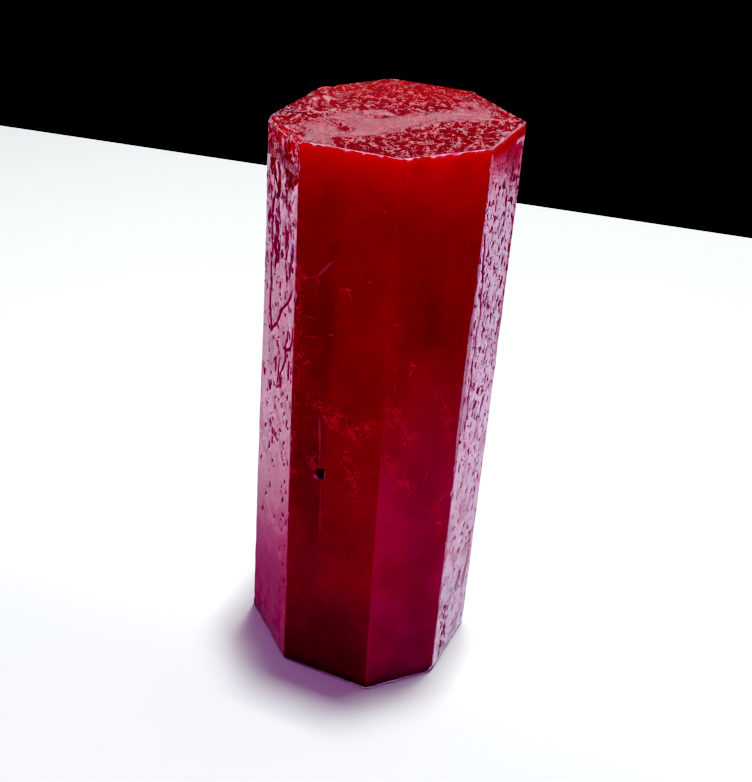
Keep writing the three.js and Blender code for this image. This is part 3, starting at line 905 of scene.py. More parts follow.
def line_distance(points: Array, line: Sequence[Sequence[float]]) -> Array:
    """The distance of each flat point from the nearest place of an open line of points."""
    gap = np.full(len(points), np.inf)
    for start, end in zip(line[:-1], line[1:]):
        a, b = np.array(start, float), np.array(end, float)
        share = np.clip((points - a) @ (b - a) / ((b - a) @ (b - a)), 0.0, 1.0)
        gap = np.minimum(gap, np.linalg.norm(points - a - share[:, None] * (b - a), axis=1))
    return gap


def outline_distance(points: Array, outline: Array) -> tuple[Array, Array]:
    """Whether each point lies inside a closed outline, and its distance from the outline.

    Inside is found by counting the outline's crossings of a level ray; the distance is to the
    nearest point of the nearest segment.
    """
    inside = np.zeros(len(points), bool)
    for a, b in zip(outline, np.roll(outline, -1, axis=0)):
        along = b - a
        crosses = (a[1] > points[:, 1]) != (b[1] > points[:, 1])
        rise = along[1] if along[1] != 0 else 1e-9
        inside ^= crosses & (points[:, 0] < a[0] + (points[:, 1] - a[1]) * along[0] / rise)
    return inside, line_distance(points, [*outline, outline[0]])


def closed_grid_mesh(name: str, points: Array, columns: int) -> bpy.types.Mesh:
    """A closed mesh from a grid of rows by columns whose columns join round.

    Each cell between two rows is a quad, and the first and last rows are closed by fans to
    their middle points.

    Args:
        name: The mesh's name.
        points: Rows by columns of places in metres, flattened row by row.
        columns: The number of columns.

    Returns:
        The mesh, with its faces pointing outwards.
    """
    rows = len(points) // columns
    grid = np.arange(rows * columns).reshape(rows, columns)
    right = np.roll(grid, -1, axis=1)
    quads = np.stack([grid[:-1], right[:-1], right[1:], grid[1:]], axis=-1).reshape(-1, 4)
    low, high = len(points), len(points) + 1
    foot = np.stack([right[0], grid[0], np.full(columns, low)], axis=-1)
    top = np.stack([grid[-1], right[-1], np.full(columns, high)], axis=-1)
    middles = np.stack([points[:columns].mean(axis=0), points[-columns:].mean(axis=0)])
    mesh = bpy.data.meshes.new(name)
    mesh.from_pydata(
        np.concatenate([points, middles]).tolist(),
        [],
        quads.tolist() + foot.tolist() + top.tolist(),
    )
    mesh.shade_smooth()
    mesh.update()
    return mesh


# ---------------------------------------------------------------------------------------
# Wiring of materials
# ---------------------------------------------------------------------------------------

Value = float | tuple[float, ...] | bpy.types.NodeSocket
Colour = tuple[float, float, float]


class Draw(Enum):
    """How fine a pattern on the crystal is along X, Y and Z, in steps to a millimetre."""

    CURLED = (1.6, 1.15, 0.0)
    UPRIGHT = (1.0, 1.0, 0.55)
    FEATHER = (1.7, 1.7, 1.3)


class Wiring:
    """A node tree while it is being wired: adds nodes, and joins or sets their inputs."""

    def __init__(self, tree: bpy.types.NodeTree) -> None:
        """Starts on a tree, which keeps the nodes it has."""
        self.tree = tree

    def add(self, kind: str, inputs: dict[str | int, Value], **settings: object) -> bpy.types.Node:
        """A new node.

        Args:
            kind: The node's type, without its ShaderNode prefix.
            inputs: Sockets to link, or values to set, by input name or number.
            settings: The node's own properties.

        Returns:
            The node.
        """
        node = self.tree.nodes.new(f"ShaderNode{kind}")
        for name, setting in settings.items():
            setattr(node, name, setting)
        for key, value in inputs.items():
            self.set(node.inputs[key], value)
        return node

    def set(self, socket: bpy.types.NodeSocket, value: Value) -> None:
        """Links another node's output to an input, or sets it to a value."""
        if isinstance(value, bpy.types.NodeSocket):
            self.tree.links.new(value, socket)
        elif socket.type == "RGBA" and len(value) == 3:
            socket.default_value = (*value, 1.0)
        else:
            socket.default_value = value

    def math(self, operation: str, *values: Value, clamp: bool = False) -> bpy.types.NodeSocket:
        """One step of arithmetic on numbers."""
        node = self.add("Math", dict(enumerate(values)), operation=operation, use_clamp=clamp)
        return node.outputs[0]

    def times(self, *values: Value) -> bpy.types.NodeSocket:
        """The product of numbers."""
        product = values[-1]
        for value in values[-2::-1]:
            product = self.math("MULTIPLY", value, product)
        return product

    def most(self, first: Value, second: Value) -> bpy.types.NodeSocket:
        """The greater of two numbers."""
        return self.math("MAXIMUM", first, second)

    def rest(self, share: Value) -> bpy.types.NodeSocket:
        """What a share leaves of 1."""
        return self.math("SUBTRACT", 1.0, share)

    def spread(self, share: Value, low: float, high: float) -> bpy.types.NodeSocket:
        """The number that lies this share of the way from low to high."""
        return self.math("MULTIPLY_ADD", share, high - low, low)

    def axis(self, place: Value, name: str) -> bpy.types.NodeSocket:
        """One coordinate of a place."""
        return self.add("SeparateXYZ", {0: place}).outputs[name]

    def vector(self, operation: str, *values: Value) -> bpy.types.NodeSocket:
        """One step of arithmetic on vectors, with its vector result."""
        return self.add("VectorMath", dict(enumerate(values)), operation=operation).outputs["Vector"]

    def measure(self, operation: str, *values: Value) -> bpy.types.NodeSocket:
        """A length, distance or dot product of vectors."""
        return self.add("VectorMath", dict(enumerate(values)), operation=operation).outputs["Value"]

    def scaled(self, vector: Value, factor: Value) -> bpy.types.NodeSocket:
        """A vector times a number."""
        return self.add("VectorMath", {0: vector, "Scale": factor}, operation="SCALE").outputs["Vector"]

    def fade(self, value: Value, low: float, high: float) -> bpy.types.NodeSocket:
        """0 below low and 1 above high, or the other way round, smoothly between them."""
        node = self.add(
            "MapRange",
            {"Value": value, "From Min": low, "From Max": high, "To Min": 0.0, "To Max": 1.0},
            interpolation_type="SMOOTHSTEP",
        )
        return node.outputs["Result"]

    def blend(self, share: Value, first: Value, second: Value, how: str = "MIX") -> bpy.types.NodeSocket:
        """Two colours mixed by a share."""
        node = self.add("Mix", {}, data_type="RGBA", blend_type=how)
        self.set(node.inputs["Factor"], share)
        self.set(node.inputs["A"] if node.inputs["A"].type == "RGBA" else node.inputs[6], first)
        self.set(node.inputs["B"] if node.inputs["B"].type == "RGBA" else node.inputs[7], second)
        return node.outputs[2]

    def mix(self, share: Value, first: Value, second: Value) -> bpy.types.NodeSocket:
        """The number that lies this share of the way from one wired number to another."""
        return self.math("MULTIPLY_ADD", self.math("SUBTRACT", second, first), share, first)

    def clouds(self, at: Value, scale: float, detail: float, twist: float = 0.0) -> bpy.types.NodeSocket:
        """Noise from 0 to 1 at a place, with this many lattice steps to a millimetre."""
        node = self.add(
            "TexNoise",
            {"Vector": at, "Scale": scale, "Detail": detail, "Roughness": 0.55, "Distortion": twist},
        )
        return node.outputs["Fac"]

    def ramp(self, share: Value, stops: Sequence[tuple[float, Colour]]) -> bpy.types.NodeSocket:
        """A colour picked along a row of colour stops."""
        node = self.add("ValToRGB", {"Fac": share})
        elements = node.color_ramp.elements
        while len(elements) < len(stops):
            elements.new(0.5)
        for element, (place, colour) in zip(elements, stops):
            element.position = place
            element.color = (*colour, 1.0)
        return node.outputs["Color"]


def blank_material(name: str) -> tuple[bpy.types.Material, Wiring]:
    """A new material without any nodes, and the wiring of its tree."""
    material = bpy.data.materials.new(name)
    material.use_nodes = True
    material.node_tree.nodes.clear()
    return material, Wiring(material.node_tree)


def millimetres(w: Wiring) -> bpy.types.NodeSocket:
    """The place on the object in its own frame, in millimetres."""
    return w.scaled(w.add("TexCoord", {}).outputs["Object"], 1.0 / MM)


def node_group(
    name: str,
    inputs: Sequence[tuple[str, str, Value]],
    outputs: Sequence[tuple[str, str]],
    wire: Callable[[Wiring, bpy.types.Node], dict[str, bpy.types.NodeSocket]],
) -> bpy.types.NodeTree:
    """A shader node group with named inputs and outputs, made once.

    Args:
        name: The group's name.
        inputs: The name, socket type and default of each input.
        outputs: The name and socket type of each output.
        wire: Makes the nodes inside, given the group's wiring and its input node, and returns
            the socket that feeds each output.

    Returns:
        The group.
    """
    if name in bpy.data.node_groups:
        return bpy.data.node_groups[name]
    tree = bpy.data.node_groups.new(name, "ShaderNodeTree")
    for label, kind, default in inputs:
        socket = tree.interface.new_socket(label, in_out="INPUT", socket_type=f"NodeSocket{kind}")
        socket.default_value = default
    for label, kind in outputs:
        tree.interface.new_socket(label, in_out="OUTPUT", socket_type=f"NodeSocket{kind}")
    entry, leave = tree.nodes.new("NodeGroupInput"), tree.nodes.new("NodeGroupOutput")
    for label, socket in wire(Wiring(tree), entry).items():
        tree.links.new(socket, leave.inputs[label])
    return tree


def place_group(wiring: Wiring, group: bpy.types.NodeTree, inputs: dict[str, Value]) -> bpy.types.Node:
    """A node group placed in a tree, with its inputs linked or set."""
    node = wiring.tree.nodes.new("ShaderNodeGroup")
    node.node_tree = group
    for label, value in inputs.items():
        wiring.set(node.inputs[label], value)
    return node


def etching_group() -> bpy.types.NodeTree:
    """Fine etched skin: curled furrows with a raised lip, and small pits, from two noises.

    A furrow runs where the first noise passes its middle value, its lip runs beside it; where
    the skin is dashed instead, the furrows are the low parts of that noise, but for the very
    lowest, and the lips its high parts. A pit stands where the second noise passes a level that
    falls as the pitting grows, with a thin rim where it nears that level.
    """

    def wire(w: Wiring, entry: bpy.types.Node) -> dict[str, bpy.types.NodeSocket]:
        """The two noises, and the bands of their values."""
        at = w.vector("MULTIPLY", entry.outputs["Place"], entry.outputs["Draw"])
        level = w.math("SUBTRACT", w.clouds(at, 1.0, 3.0, 0.9), 0.5)
        across = w.math("DIVIDE", level, entry.outputs["Width"])
        furrow = w.math("SUBTRACT", 1.0, w.math("ABSOLUTE", across), clamp=True)
        beside = w.math("ABSOLUTE", w.math("SUBTRACT", across, 1.3))
        lip = w.math("MULTIPLY", w.math("SUBTRACT", 1.0, beside, clamp=True), 1.6, clamp=True)
        dashes = w.times(w.fade(level, -0.045, -0.085), w.fade(level, -0.3, -0.22))
        furrow = w.mix(entry.outputs["Dashed"], furrow, dashes)
        lip = w.mix(entry.outputs["Dashed"], lip, w.fade(level, 0.01, 0.06))
        lens = w.clouds(w.vector("MULTIPLY", entry.outputs["Place"], (2.3, 1.9, 1.5)), 1.0, 2.0, 0.8)
        over = w.math("SUBTRACT", lens, w.math("MULTIPLY_ADD", entry.outputs["Pitting"], -0.12, 0.68))
        pit = w.math("DIVIDE", over, 0.03, clamp=True)
        near = w.math("ABSOLUTE", w.math("ADD", over, 0.018))
        rim = w.math("SUBTRACT", 1.0, w.math("DIVIDE", near, 0.018), clamp=True)
        return {"Furrow": furrow, "Lip": lip, "Pit": pit, "Rim": rim}

    return node_group(
        "etching",
        [
            ("Place", "Vector", (0, 0, 0)),
            ("Draw", "Vector", (1, 1, 1)),
            ("Width", "Float", 0.05),
            ("Pitting", "Float", 0.5),
            ("Dashed", "Float", 0.0),
        ],
        [("Furrow", "Float"), ("Lip", "Float"), ("Pit", "Float"), ("Rim", "Float")],
        wire,
    )


def scratch_group() -> bpy.types.NodeTree:
    """One scratch: 1 on a straight line between two points, fading over its width.

    The distance is from the place to its nearest point of the line, and the width narrows to
    nothing at both ends.
    """

    def wire(w: Wiring, entry: bpy.types.Node) -> dict[str, bpy.types.NodeSocket]:
        """Nearest point of the line, the distance to it, and the fade."""
        line = w.vector("SUBTRACT", entry.outputs["To"], entry.outputs["From"])
        reach = w.vector("SUBTRACT", entry.outputs["Place"], entry.outputs["From"])
        share = w.math(
            "DIVIDE", w.measure("DOT_PRODUCT", reach, line), w.measure("DOT_PRODUCT", line, line), clamp=True
        )
        nearest = w.scaled(line, share)
        gap = w.measure("DISTANCE", reach, nearest)
        middle = w.math("SUBTRACT", 1.0, w.math("ABSOLUTE", w.math("MULTIPLY_ADD", share, 2.0, -1.0)))
        width = w.math("MULTIPLY", entry.outputs["Width"], w.math("POWER", middle, 0.4))
        ratio = w.math("DIVIDE", gap, w.math("ADD", width, 0.001))
        return {"Mask": w.math("SUBTRACT", 1.0, ratio, clamp=True)}

    return node_group(
        "scratch",
        [
            ("Place", "Vector", (0, 0, 0)),
            ("From", "Vector", (0, 0, 0)),
            ("To", "Vector", (0, 0, 1)),
            ("Width", "Float", 0.1),
        ],
        [("Mask", "Float")],
        wire,
    )


# ---------------------------------------------------------------------------------------
# Finishes
# ---------------------------------------------------------------------------------------


@dataclass(frozen=True)
class Scratch:
    """A scratch or a feather on a side face: its ends as (along, height), width and strength."""

    face: int
    start: tuple[float, float]
    end: tuple[float, float]
    width: float
    strength: float


SCRATCHES = (
    Scratch(1, (-1.02, 31.8), (-0.72, 27.0), 0.18, 1.0),
    Scratch(1, (-0.48, 24.4), (-0.2, 17.6), 0.11, 0.7),
    Scratch(1, (-0.5, 47.7), (-2.1, 45.8), 0.22, 1.0),
    Scratch(1, (-2.1, 45.8), (-3.7, 45.2), 0.18, 0.8),
    Scratch(1, (-2.1, 45.8), (-1.8, 45.1), 0.16, 0.8),
    Scratch(1, (3.7, 53.2), (4.2, 53.3), 0.14, 1.0),
    Scratch(1, (2.8, 46.5), (3.3, 46.6), 0.14, 1.0),
    Scratch(1, (0.7, 45.3), (1.4, 45.3), 0.22, 0.7),
    Scratch(1, (1.1, 45.3), (1.5, 44.0), 0.12, 0.5),
    Scratch(1, (-0.6, 40.5), (-0.1, 40.6), 0.16, 1.0),
    Scratch(1, (-2.9, 41.8), (-1.9, 41.7), 0.14, 0.6),
    Scratch(1, (-3.0, 39.6), (-1.4, 40.0), 0.12, 0.6),
    Scratch(1, (-4.1, 42.5), (-3.4, 42.3), 0.16, 0.8),
    Scratch(1, (-3.8, 37.8), (-3.0, 37.4), 0.18, 0.9),
    Scratch(1, (3.5, 32.3), (4.1, 31.9), 0.16, 1.0),
    Scratch(2, (-4.3, 43.0), (-3.7, 42.9), 0.15, 1.0),
    Scratch(2, (-2.6, 38.5), (-1.8, 38.6), 0.14, 1.0),
    Scratch(2, (-2.5, 37.5), (-2.1, 38.3), 0.14, 1.0),
    Scratch(2, (-3.9, 39.2), (-3.8, 35.4), 0.08, 0.5),
    Scratch(2, (0.4, 26.8), (-0.1, 25.1), 0.13, 0.9),
    Scratch(2, (1.7, 22.7), (3.0, 23.8), 0.18, 1.0),
    Scratch(2, (-1.5, 7.7), (-0.9, 7.3), 0.15, 1.0),
    Scratch(2, (0.2, 57.2), (0.5, 57.8), 0.1, 0.9),
)


@dataclass(frozen=True)
class Cover:
    """How far each marking covers the body's colour, from 0 to 1; the sheen, the dark of furrows and pits,
    and the light of the sparkle and of rims are painted light and shade.
    """

    stain: float = 0.5
    sheen: float = 0.72
    furrow: float = 0.65
    pit: float = 0.9
    sparkle: float = 0.6
    rim: float = 0.5
    grit: float = 0.07
    feather: float = 0.8
    scratch: float = 0.85


@dataclass(frozen=True)
class Ground:
    """What the finish knows of a place on the crystal, as wired values.

    place: in millimetres. height: its z. grain: a fine noise. paint: the numbers kept on the
    mesh, by name. high: 1 where the ribbed skin nears the top. back: 1 at the back of the top.
    stain: the blotches. furrow, lip, pit, rim: the fine etching.
    """

    place: Value
    height: Value
    grain: Value
    paint: dict[str, Value]
    high: Value
    back: Value
    stain: Value
    furrow: Value
    lip: Value
    pit: Value
    rim: Value


@dataclass(frozen=True)
class BerylFinish:
    """Deep red crystal: see-through, strongly absorbing, with etched and pitted skin.

    height: the crystal's height, over which its colour changes. bands: the colour of its body
    at shares of the height, with painted light in it: brighter towards the top, a painted glow,
    and darker at the foot, a painted shade. The other colours are: crown, the body under the
    top, and ember, its warmer painted glow at the back; plum, low down, a painted reflection of
    the shaded table; frost, the etched skin, and bloom, its highest part; haze, a painted sheen
    on the dull patch of the top; veil, the feathers in the front faces; scratch; deep, a painted
    shade in holes, in the pits of faces that are not etched and in the furrows of the top; wine,
    in the stains, and a painted shade in the pits of the etched faces; lip, a painted highlight
    round them; stroke, the curled strokes of the top, and pale, those high on the left, both
    painted highlights; glint, a painted highlight on the worn rim and edges and on the bright
    marks of the top.

    The zones are spans of millimetres over which a marking grows from nothing to full.
    """

    height: float
    # Painted glow towards the top and painted shade at the foot, by share of the height.
    painted_light_bands: tuple[tuple[float, Colour], ...] = (
        (0.0, (0.3, 0.0, 0.03)),
        (0.1, (0.36, 0.002, 0.045)),
        (0.28, (0.38, 0.002, 0.06)),
        (0.45, (0.37, 0.002, 0.05)),
        (0.6, (0.42, 0.002, 0.035)),
        (0.76, (0.41, 0.001, 0.018)),
        (0.88, (0.5, 0.001, 0.009)),
        (0.98, (0.66, 0.002, 0.008)),
    )
    crown: Colour = (0.4, 0.004, 0.012)
    # A painted glow at the back of the top, where light comes in.
    painted_back_glow: Colour = (0.62, 0.02, 0.005)
    # A painted reflection of the shaded table, purple.
    plum: Colour = (0.66, 0.075, 0.24)
    frost: Colour = (0.68, 0.12, 0.27)
    bloom: Colour = (1.0, 0.22, 0.38)
    # A painted sheen.
    haze: Colour = (0.75, 0.33, 0.4)
    veil: Colour = (0.9, 0.14, 0.17)
    scratch: Colour = (1.0, 0.34, 0.36)
    deep: Colour = (0.16, 0.0, 0.02)
    wine: Colour = (0.6, 0.006, 0.17)
    lip: Colour = (1.0, 0.6, 0.8)
    stroke: Colour = (1.0, 0.42, 0.43)
    glint: Colour = (1.0, 0.52, 0.58)
    pale: Colour = (1.0, 0.74, 0.7)
    cover: Cover = Cover()
    ior: float = 1.57
    transmission: float = 0.55
    absorption: Colour = (0.9, 0.0, 0.02)
    density: float = 300.0
    scatter_radius: Colour = (1.0, 0.06, 0.08)
    scatter_scale: float = 0.01
    relief: float = 0.1  # millimetres that the fine etching stands for
    stroke_width: float = 0.055  # of the curled strokes, in steps of their noise
    band_sway: float = 3.0  # millimetres that the bands wander up and down
    pitted_zone: tuple[float, float] = (16.0, 40.0)  # up the etched faces
    pitted_side: tuple[float, float] = (-4.0, 4.0)  # from the left faces to the right ones
    back_zone: tuple[float, float] = (2.0, 9.0)  # towards the back of the top
    thin_zone: tuple[float, float] = (2.0, -3.0)  # to the left, where the film thins
    bloom_zone: tuple[float, float] = (48.0, 56.0)
    high_zone: tuple[float, float] = (49.0, 54.0)
    upturned_zone: tuple[float, float] = (51.0, 56.0)
    stain_zone: tuple[float, float] = (46.0, 34.0)
    grit_zone: tuple[float, float] = (40.0, 30.0)
    stain_tilt: float = 0.22  # how far stained skin is turned up

    def build(self) -> bpy.types.Material:
        """The material."""
        material, w = blank_material("red_beryl")
        shader = w.add(
            "BsdfPrincipled",
            {
                "IOR": self.ior,
                "Transmission Weight": self.transmission,
                "Subsurface Weight": 1.0,
                "Subsurface Radius": self.scatter_radius,
                "Subsurface Scale": self.scatter_scale,
            },
        )
        ground = self.ground(w)
        w.set(shader.inputs["Base Color"], self.colour(w, ground))
        w.set(shader.inputs["Roughness"], self.roughness(w, ground))
        w.set(shader.inputs["Normal"], self.normal(w, ground))
        volume = w.add("VolumeAbsorption", {"Color": self.absorption, "Density": self.density})
        w.add("OutputMaterial", {"Surface": shader.outputs["BSDF"], "Volume": volume.outputs["Volume"]})
        return material

    def ground(self, w: Wiring) -> Ground:
        """The values that the colour, the roughness and the normal share."""
        place = millimetres(w)
        paint = {name: w.add("Attribute", {}, attribute_name=name).outputs["Fac"] for name in PAINT}
        etched, on_top = paint["etched"], paint["top"]
        height = w.axis(place, "Z")
        upright = w.fade(etched, 0.1, 0.2)
        side = w.blend(upright, Draw.FEATHER.value, Draw.UPRIGHT.value)
        right = w.fade(w.axis(place, "X"), *self.pitted_side)
        pitting = w.math("MULTIPLY_ADD", w.fade(height, *self.pitted_zone), 0.5, w.spread(right, 0.1, 0.5))
        etching = place_group(
            w,
            etching_group(),
            {
                "Place": place,
                "Draw": w.blend(on_top, side, Draw.CURLED.value),
                "Width": self.stroke_width,
                "Pitting": w.times(etched, pitting),
                "Dashed": w.math("SUBTRACT", upright, on_top, clamp=True),
            },
        ).outputs
        blotches = w.fade(w.clouds(place, 0.55, 3.0), 0.49, 0.62)
        return Ground(
            place=place,
            height=height,
            grain=w.clouds(place, 1.7, 2.0),
            paint=paint,
            high=w.times(w.fade(height, *self.high_zone), paint["ribbed"]),
            back=w.fade(w.axis(place, "Y"), *self.back_zone),
            stain=w.times(blotches, etched, w.fade(height, *self.stain_zone)),
            furrow=etching["Furrow"],
            lip=etching["Lip"],
            pit=etching["Pit"],
            rim=etching["Rim"],
        )

    def colour(self, w: Wiring, at: Ground) -> bpy.types.NodeSocket:
        """Base colour: the body, the painted sheen on the top, the etching over it with painted shade and
        highlights, feathers, scratches, and a painted glint on wear.
        """
        body = self.frosted(w, at, self.body(w, at))
        sheen = self.sheen(w, at)
        # Painted sheen on the dull patch of the top.
        body = w.blend(w.times(sheen, self.cover.sheen), body, self.haze)
        body = self.etched(w, at, sheen, body)
        body = w.blend(w.times(self.feathers(w, at), self.cover.feather), body, self.veil)
        scratched = w.math("MULTIPLY", self.scratches(w, at.place), self.cover.scratch, clamp=True)
        body = w.blend(scratched, body, self.scratch)
        # A painted glint, a highlight, on worn bevels and chips.
        wear = w.times(at.paint["worn"], w.spread(w.fade(at.grain, 0.35, 0.6), 0.5, 1.0))
        return w.blend(wear, body, self.glint)

    def body(self, w: Wiring, at: Ground) -> bpy.types.NodeSocket:
        """The body colour: banded by height with a painted glow and shade, purple in parts where a
        reflection is painted, red under the top with a painted glow at its back, and shaded.
        """
        sway = w.spread(w.clouds(at.place, 0.16, 1.0), -self.band_sway, self.band_sway)
        # Painted light: the bands brighten towards the top and darken at the foot.
        body = w.ramp(w.math("DIVIDE", w.math("ADD", at.height, sway), self.height), self.painted_light_bands)
        # A painted reflection of the shaded table, purple low down.
        body = w.blend(at.paint["plum"], body, self.plum)
        # Red under the top, with a painted glow towards its back.
        body = w.blend(at.paint["top"], body, w.blend(at.back, self.crown, self.painted_back_glow))
        # The painted shade at the foot and the mottling darken it all.
        shade = at.paint["shade"]
        grey = w.add("CombineColor", {0: shade, 1: shade, 2: shade}).outputs[0]
        return w.blend(1.0, body, grey, "MULTIPLY")

    def frosted(self, w: Wiring, at: Ground, body: Value) -> bpy.types.NodeSocket:
        """A body colour under the frost and the stains of the etched faces."""
        frost = w.times(at.paint["etched"], w.spread(w.fade(at.grain, 0.3, 0.65), 0.45, 0.7))
        frost = w.times(frost, w.spread(at.high, 1.0, 0.15))
        body = w.blend(frost, body, w.blend(w.fade(at.height, *self.bloom_zone), self.frost, self.bloom))
        return w.blend(w.times(at.stain, self.cover.stain), body, self.wine)

    def sheen(self, w: Wiring, at: Ground) -> bpy.types.NodeSocket:
        """The dull patch of the top, as a painted sheen, cut off along its own curls, and a little thinner
        on the left.
        """
        on_top = at.paint["top"]
        curls = w.times(w.math("SUBTRACT", at.lip, at.furrow), 0.5)
        sheen = w.fade(w.math("ADD", at.paint["haze"], w.times(curls, on_top)), 0.4, 0.64)
        left = w.fade(w.axis(at.place, "X"), *self.thin_zone)
        return w.times(sheen, w.math("MULTIPLY_ADD", left, -0.06, on_top, clamp=True))

    def etched(self, w: Wiring, at: Ground, sheen: Value, body: Value) -> bpy.types.NodeSocket:
        """A body colour with painted shade in pits and furrows, painted highlights round them, and the
        bright strokes, painted highlights too.
        """
        on_top, etched = at.paint["top"], at.paint["etched"]
        ribbed = w.math("MULTIPLY_ADD", at.high, 0.35, w.times(at.paint["ribbed"], 0.7), clamp=True)
        drawn = w.most(on_top, ribbed)
        # Painted shade: furrows, pits and holes darken towards deep or wine.
        fine = w.most(w.times(at.furrow, drawn, self.cover.furrow), w.times(at.pit, etched, self.cover.pit))
        fine = w.times(fine, w.spread(sheen, 1.0, 0.8))
        mark = w.math("MULTIPLY_ADD", at.grain, 0.4, w.math("SUBTRACT", at.paint["mark"], 0.2))
        dark = w.most(fine, w.fade(mark, 0.35, 0.6))
        pits = w.blend(w.fade(etched, 0.0, 0.1), self.deep, self.wine)
        body = w.blend(dark, body, w.blend(at.high, pits, self.crown))
        # Painted highlights on the lips of pits, the crater's wall and the sparkle at the rim.
        highlighted = w.times(w.fade(at.paint["mark"], -0.3, -0.9), self.cover.sparkle)
        light = w.most(highlighted, w.times(at.rim, etched, self.cover.rim))
        body = w.blend(light, body, w.blend(on_top, self.lip, self.glint))
        # Painted highlights: the bright curled strokes of the top and of the ribbed face.
        spark = w.times(at.lip, drawn, w.spread(sheen, 1.0, 0.6))
        spark = w.times(spark, w.spread(w.times(at.back, on_top), 1.0, 0.55))
        return w.blend(spark, body, w.blend(on_top, w.blend(at.high, self.lip, self.pale), self.stroke))

    def feathers(self, w: Wiring, at: Ground) -> bpy.types.NodeSocket:
        """Feathers in the front faces, and a faint grit low on every side face."""
        off_top = w.rest(at.paint["top"])
        feather = w.times(w.fade(at.paint["haze"], 0.3, 0.8), at.lip, off_top)
        grit = w.times(w.fade(at.grain, 0.5, 0.66), w.fade(at.height, *self.grit_zone))
        return w.most(feather, w.times(grit, off_top, self.cover.grit))

    def scratches(self, w: Wiring, place: Value) -> bpy.types.NodeSocket:
        """Every scratch, on places that a fine noise shakes a little."""
        shake = w.add("TexNoise", {"Vector": place, "Scale": 2.6, "Detail": 1.0}).outputs["Color"]
        at = w.vector("ADD", place, w.scaled(w.vector("SUBTRACT", shake, (0.5, 0.5, 0.5)), 0.35))
        total: Value = 0.0
        for mark in SCRATCHES:
            side = FACES[mark.face]
            start, end = (tuple(side.point(*spot, self.height)) for spot in (mark.start, mark.end))
            inputs = {"Place": at, "From": start, "To": end, "Width": mark.width}
            one = place_group(w, scratch_group(), inputs)
            total = w.math("MULTIPLY_ADD", one.outputs["Mask"], mark.strength, total)
        return total

    def roughness(self, w: Wiring, at: Ground) -> bpy.types.NodeSocket:
        """Roughness: glossy on clean faces, satin where etched, hazed, worn or pitted."""
        rough = w.spread(w.clouds(at.place, 0.5, 1.0), 0.1, 0.24)
        for name, amount in (("etched", 0.05), ("top", 0.03), ("haze", 0.12), ("worn", 0.12)):
            rough = w.math("MULTIPLY_ADD", at.paint[name], amount, rough)
        pitted = w.most(at.paint["mark"], 0.0)
        return w.math("MULTIPLY_ADD", pitted, 0.3, rough, clamp=True)

    def normal(self, w: Wiring, at: Ground) -> bpy.types.NodeSocket:
        """Bump: the fine etching where the skin is etched, under a faint overall grain.

        In pits, furrows and stains of the upright faces the normal is turned up, to their lower
        walls, and so it is between the strokes high on the ribbed face.
        """
        etched, ribbed = at.paint["etched"], at.paint["ribbed"]
        curled = w.most(w.times(ribbed, 0.7), w.times(at.paint["top"], 0.7))
        clean = w.rest(w.times(at.paint["haze"], 0.7))
        height = w.times(w.math("SUBTRACT", w.times(at.lip, 0.4), at.furrow), curled, clean)
        height = w.math("ADD", height, w.times(at.pit, etched, -0.6))
        height = w.math("MULTIPLY_ADD", w.clouds(at.place, 3.5, 0.0), 0.08, height)
        bumped = w.add("Bump", {"Height": height, "Distance": self.relief * MM}).outputs["Normal"]
        sunk = w.times(w.most(at.pit, w.times(at.furrow, ribbed)), etched)
        sunk = w.most(sunk, w.fade(at.paint["mark"], 0.2, 0.6))
        between_strokes = w.spread(at.lip, 0.62, 0.02)
        sunk = w.most(sunk, w.times(w.fade(at.height, *self.upturned_zone), ribbed, between_strokes))
        sunk = w.most(sunk, w.times(at.stain, self.stain_tilt))
        tilt = w.add("CombineXYZ", {2: w.times(sunk, w.fade(at.paint["top"], 1.0, 0.0))}).outputs[0]
        return w.vector("NORMALIZE", w.vector("ADD", bumped, tilt))


@dataclass(frozen=True)
class TableFinish:
    """A pale table top, with a painted shade that makes it a little dimmer towards the front left.

    far, near: its colour behind and in front of the crystal, near being the painted shade.
    """

    far: Colour = (0.63, 0.67, 0.66)
    near: Colour = (0.55, 0.595, 0.6)
    roughness: float = 0.55
    specular: float = 0.2
    near_zone: tuple[float, float] = (-2.0, -20.0)  # towards the front, and a little to the left

    def build(self) -> bpy.types.Material:
        """The material."""
        material, w = blank_material("pale_table")
        place = millimetres(w)
        ahead = w.math("MULTIPLY_ADD", w.axis(place, "X"), 0.3, w.axis(place, "Y"))
        shader = w.add(
            "BsdfPrincipled",
            {
                "Base Color": w.blend(w.fade(ahead, *self.near_zone), self.far, self.near),
                "Roughness": self.roughness,
                "Specular IOR Level": self.specular,
            },
        )
        w.add("OutputMaterial", {"Surface": shader.outputs["BSDF"]})
        return material


@dataclass(frozen=True)
class GlowFinish:
    """The glow of a card, by the distance from the crystal to either side.

    left, right: its colour far to the left and to the right. near_left, near_right: close by.
    left_zone, right_zone: the spans of distance between the two.
    """

    left: Colour = (1.9, 1.5, 1.9)
    right: Colour = (1.9, 1.66, 2.25)
    near_left: Colour = (0.42, 0.2, 0.32)
    near_right: Colour = (1.5, 1.4, 1.8)
    left_zone: tuple[float, float] = (16.0, 52.0)
    right_zone: tuple[float, float] = (20.0, 60.0)

    def build(self) -> bpy.types.Material:
        """The material."""
        material, w = blank_material("lilac_card")
        place = millimetres(w)
        away = w.measure("LENGTH", place)
        left = w.blend(w.fade(away, *self.left_zone), self.near_left, self.left)
        right = w.blend(w.fade(away, *self.right_zone), self.near_right, self.right)
        colour = w.blend(w.fade(w.axis(place, "X"), -6.0, 6.0), left, right)
        glow = w.add("Emission", {"Color": colour, "Strength": 1.0})
        w.add("OutputMaterial", {"Surface": glow.outputs["Emission"]})
        return material


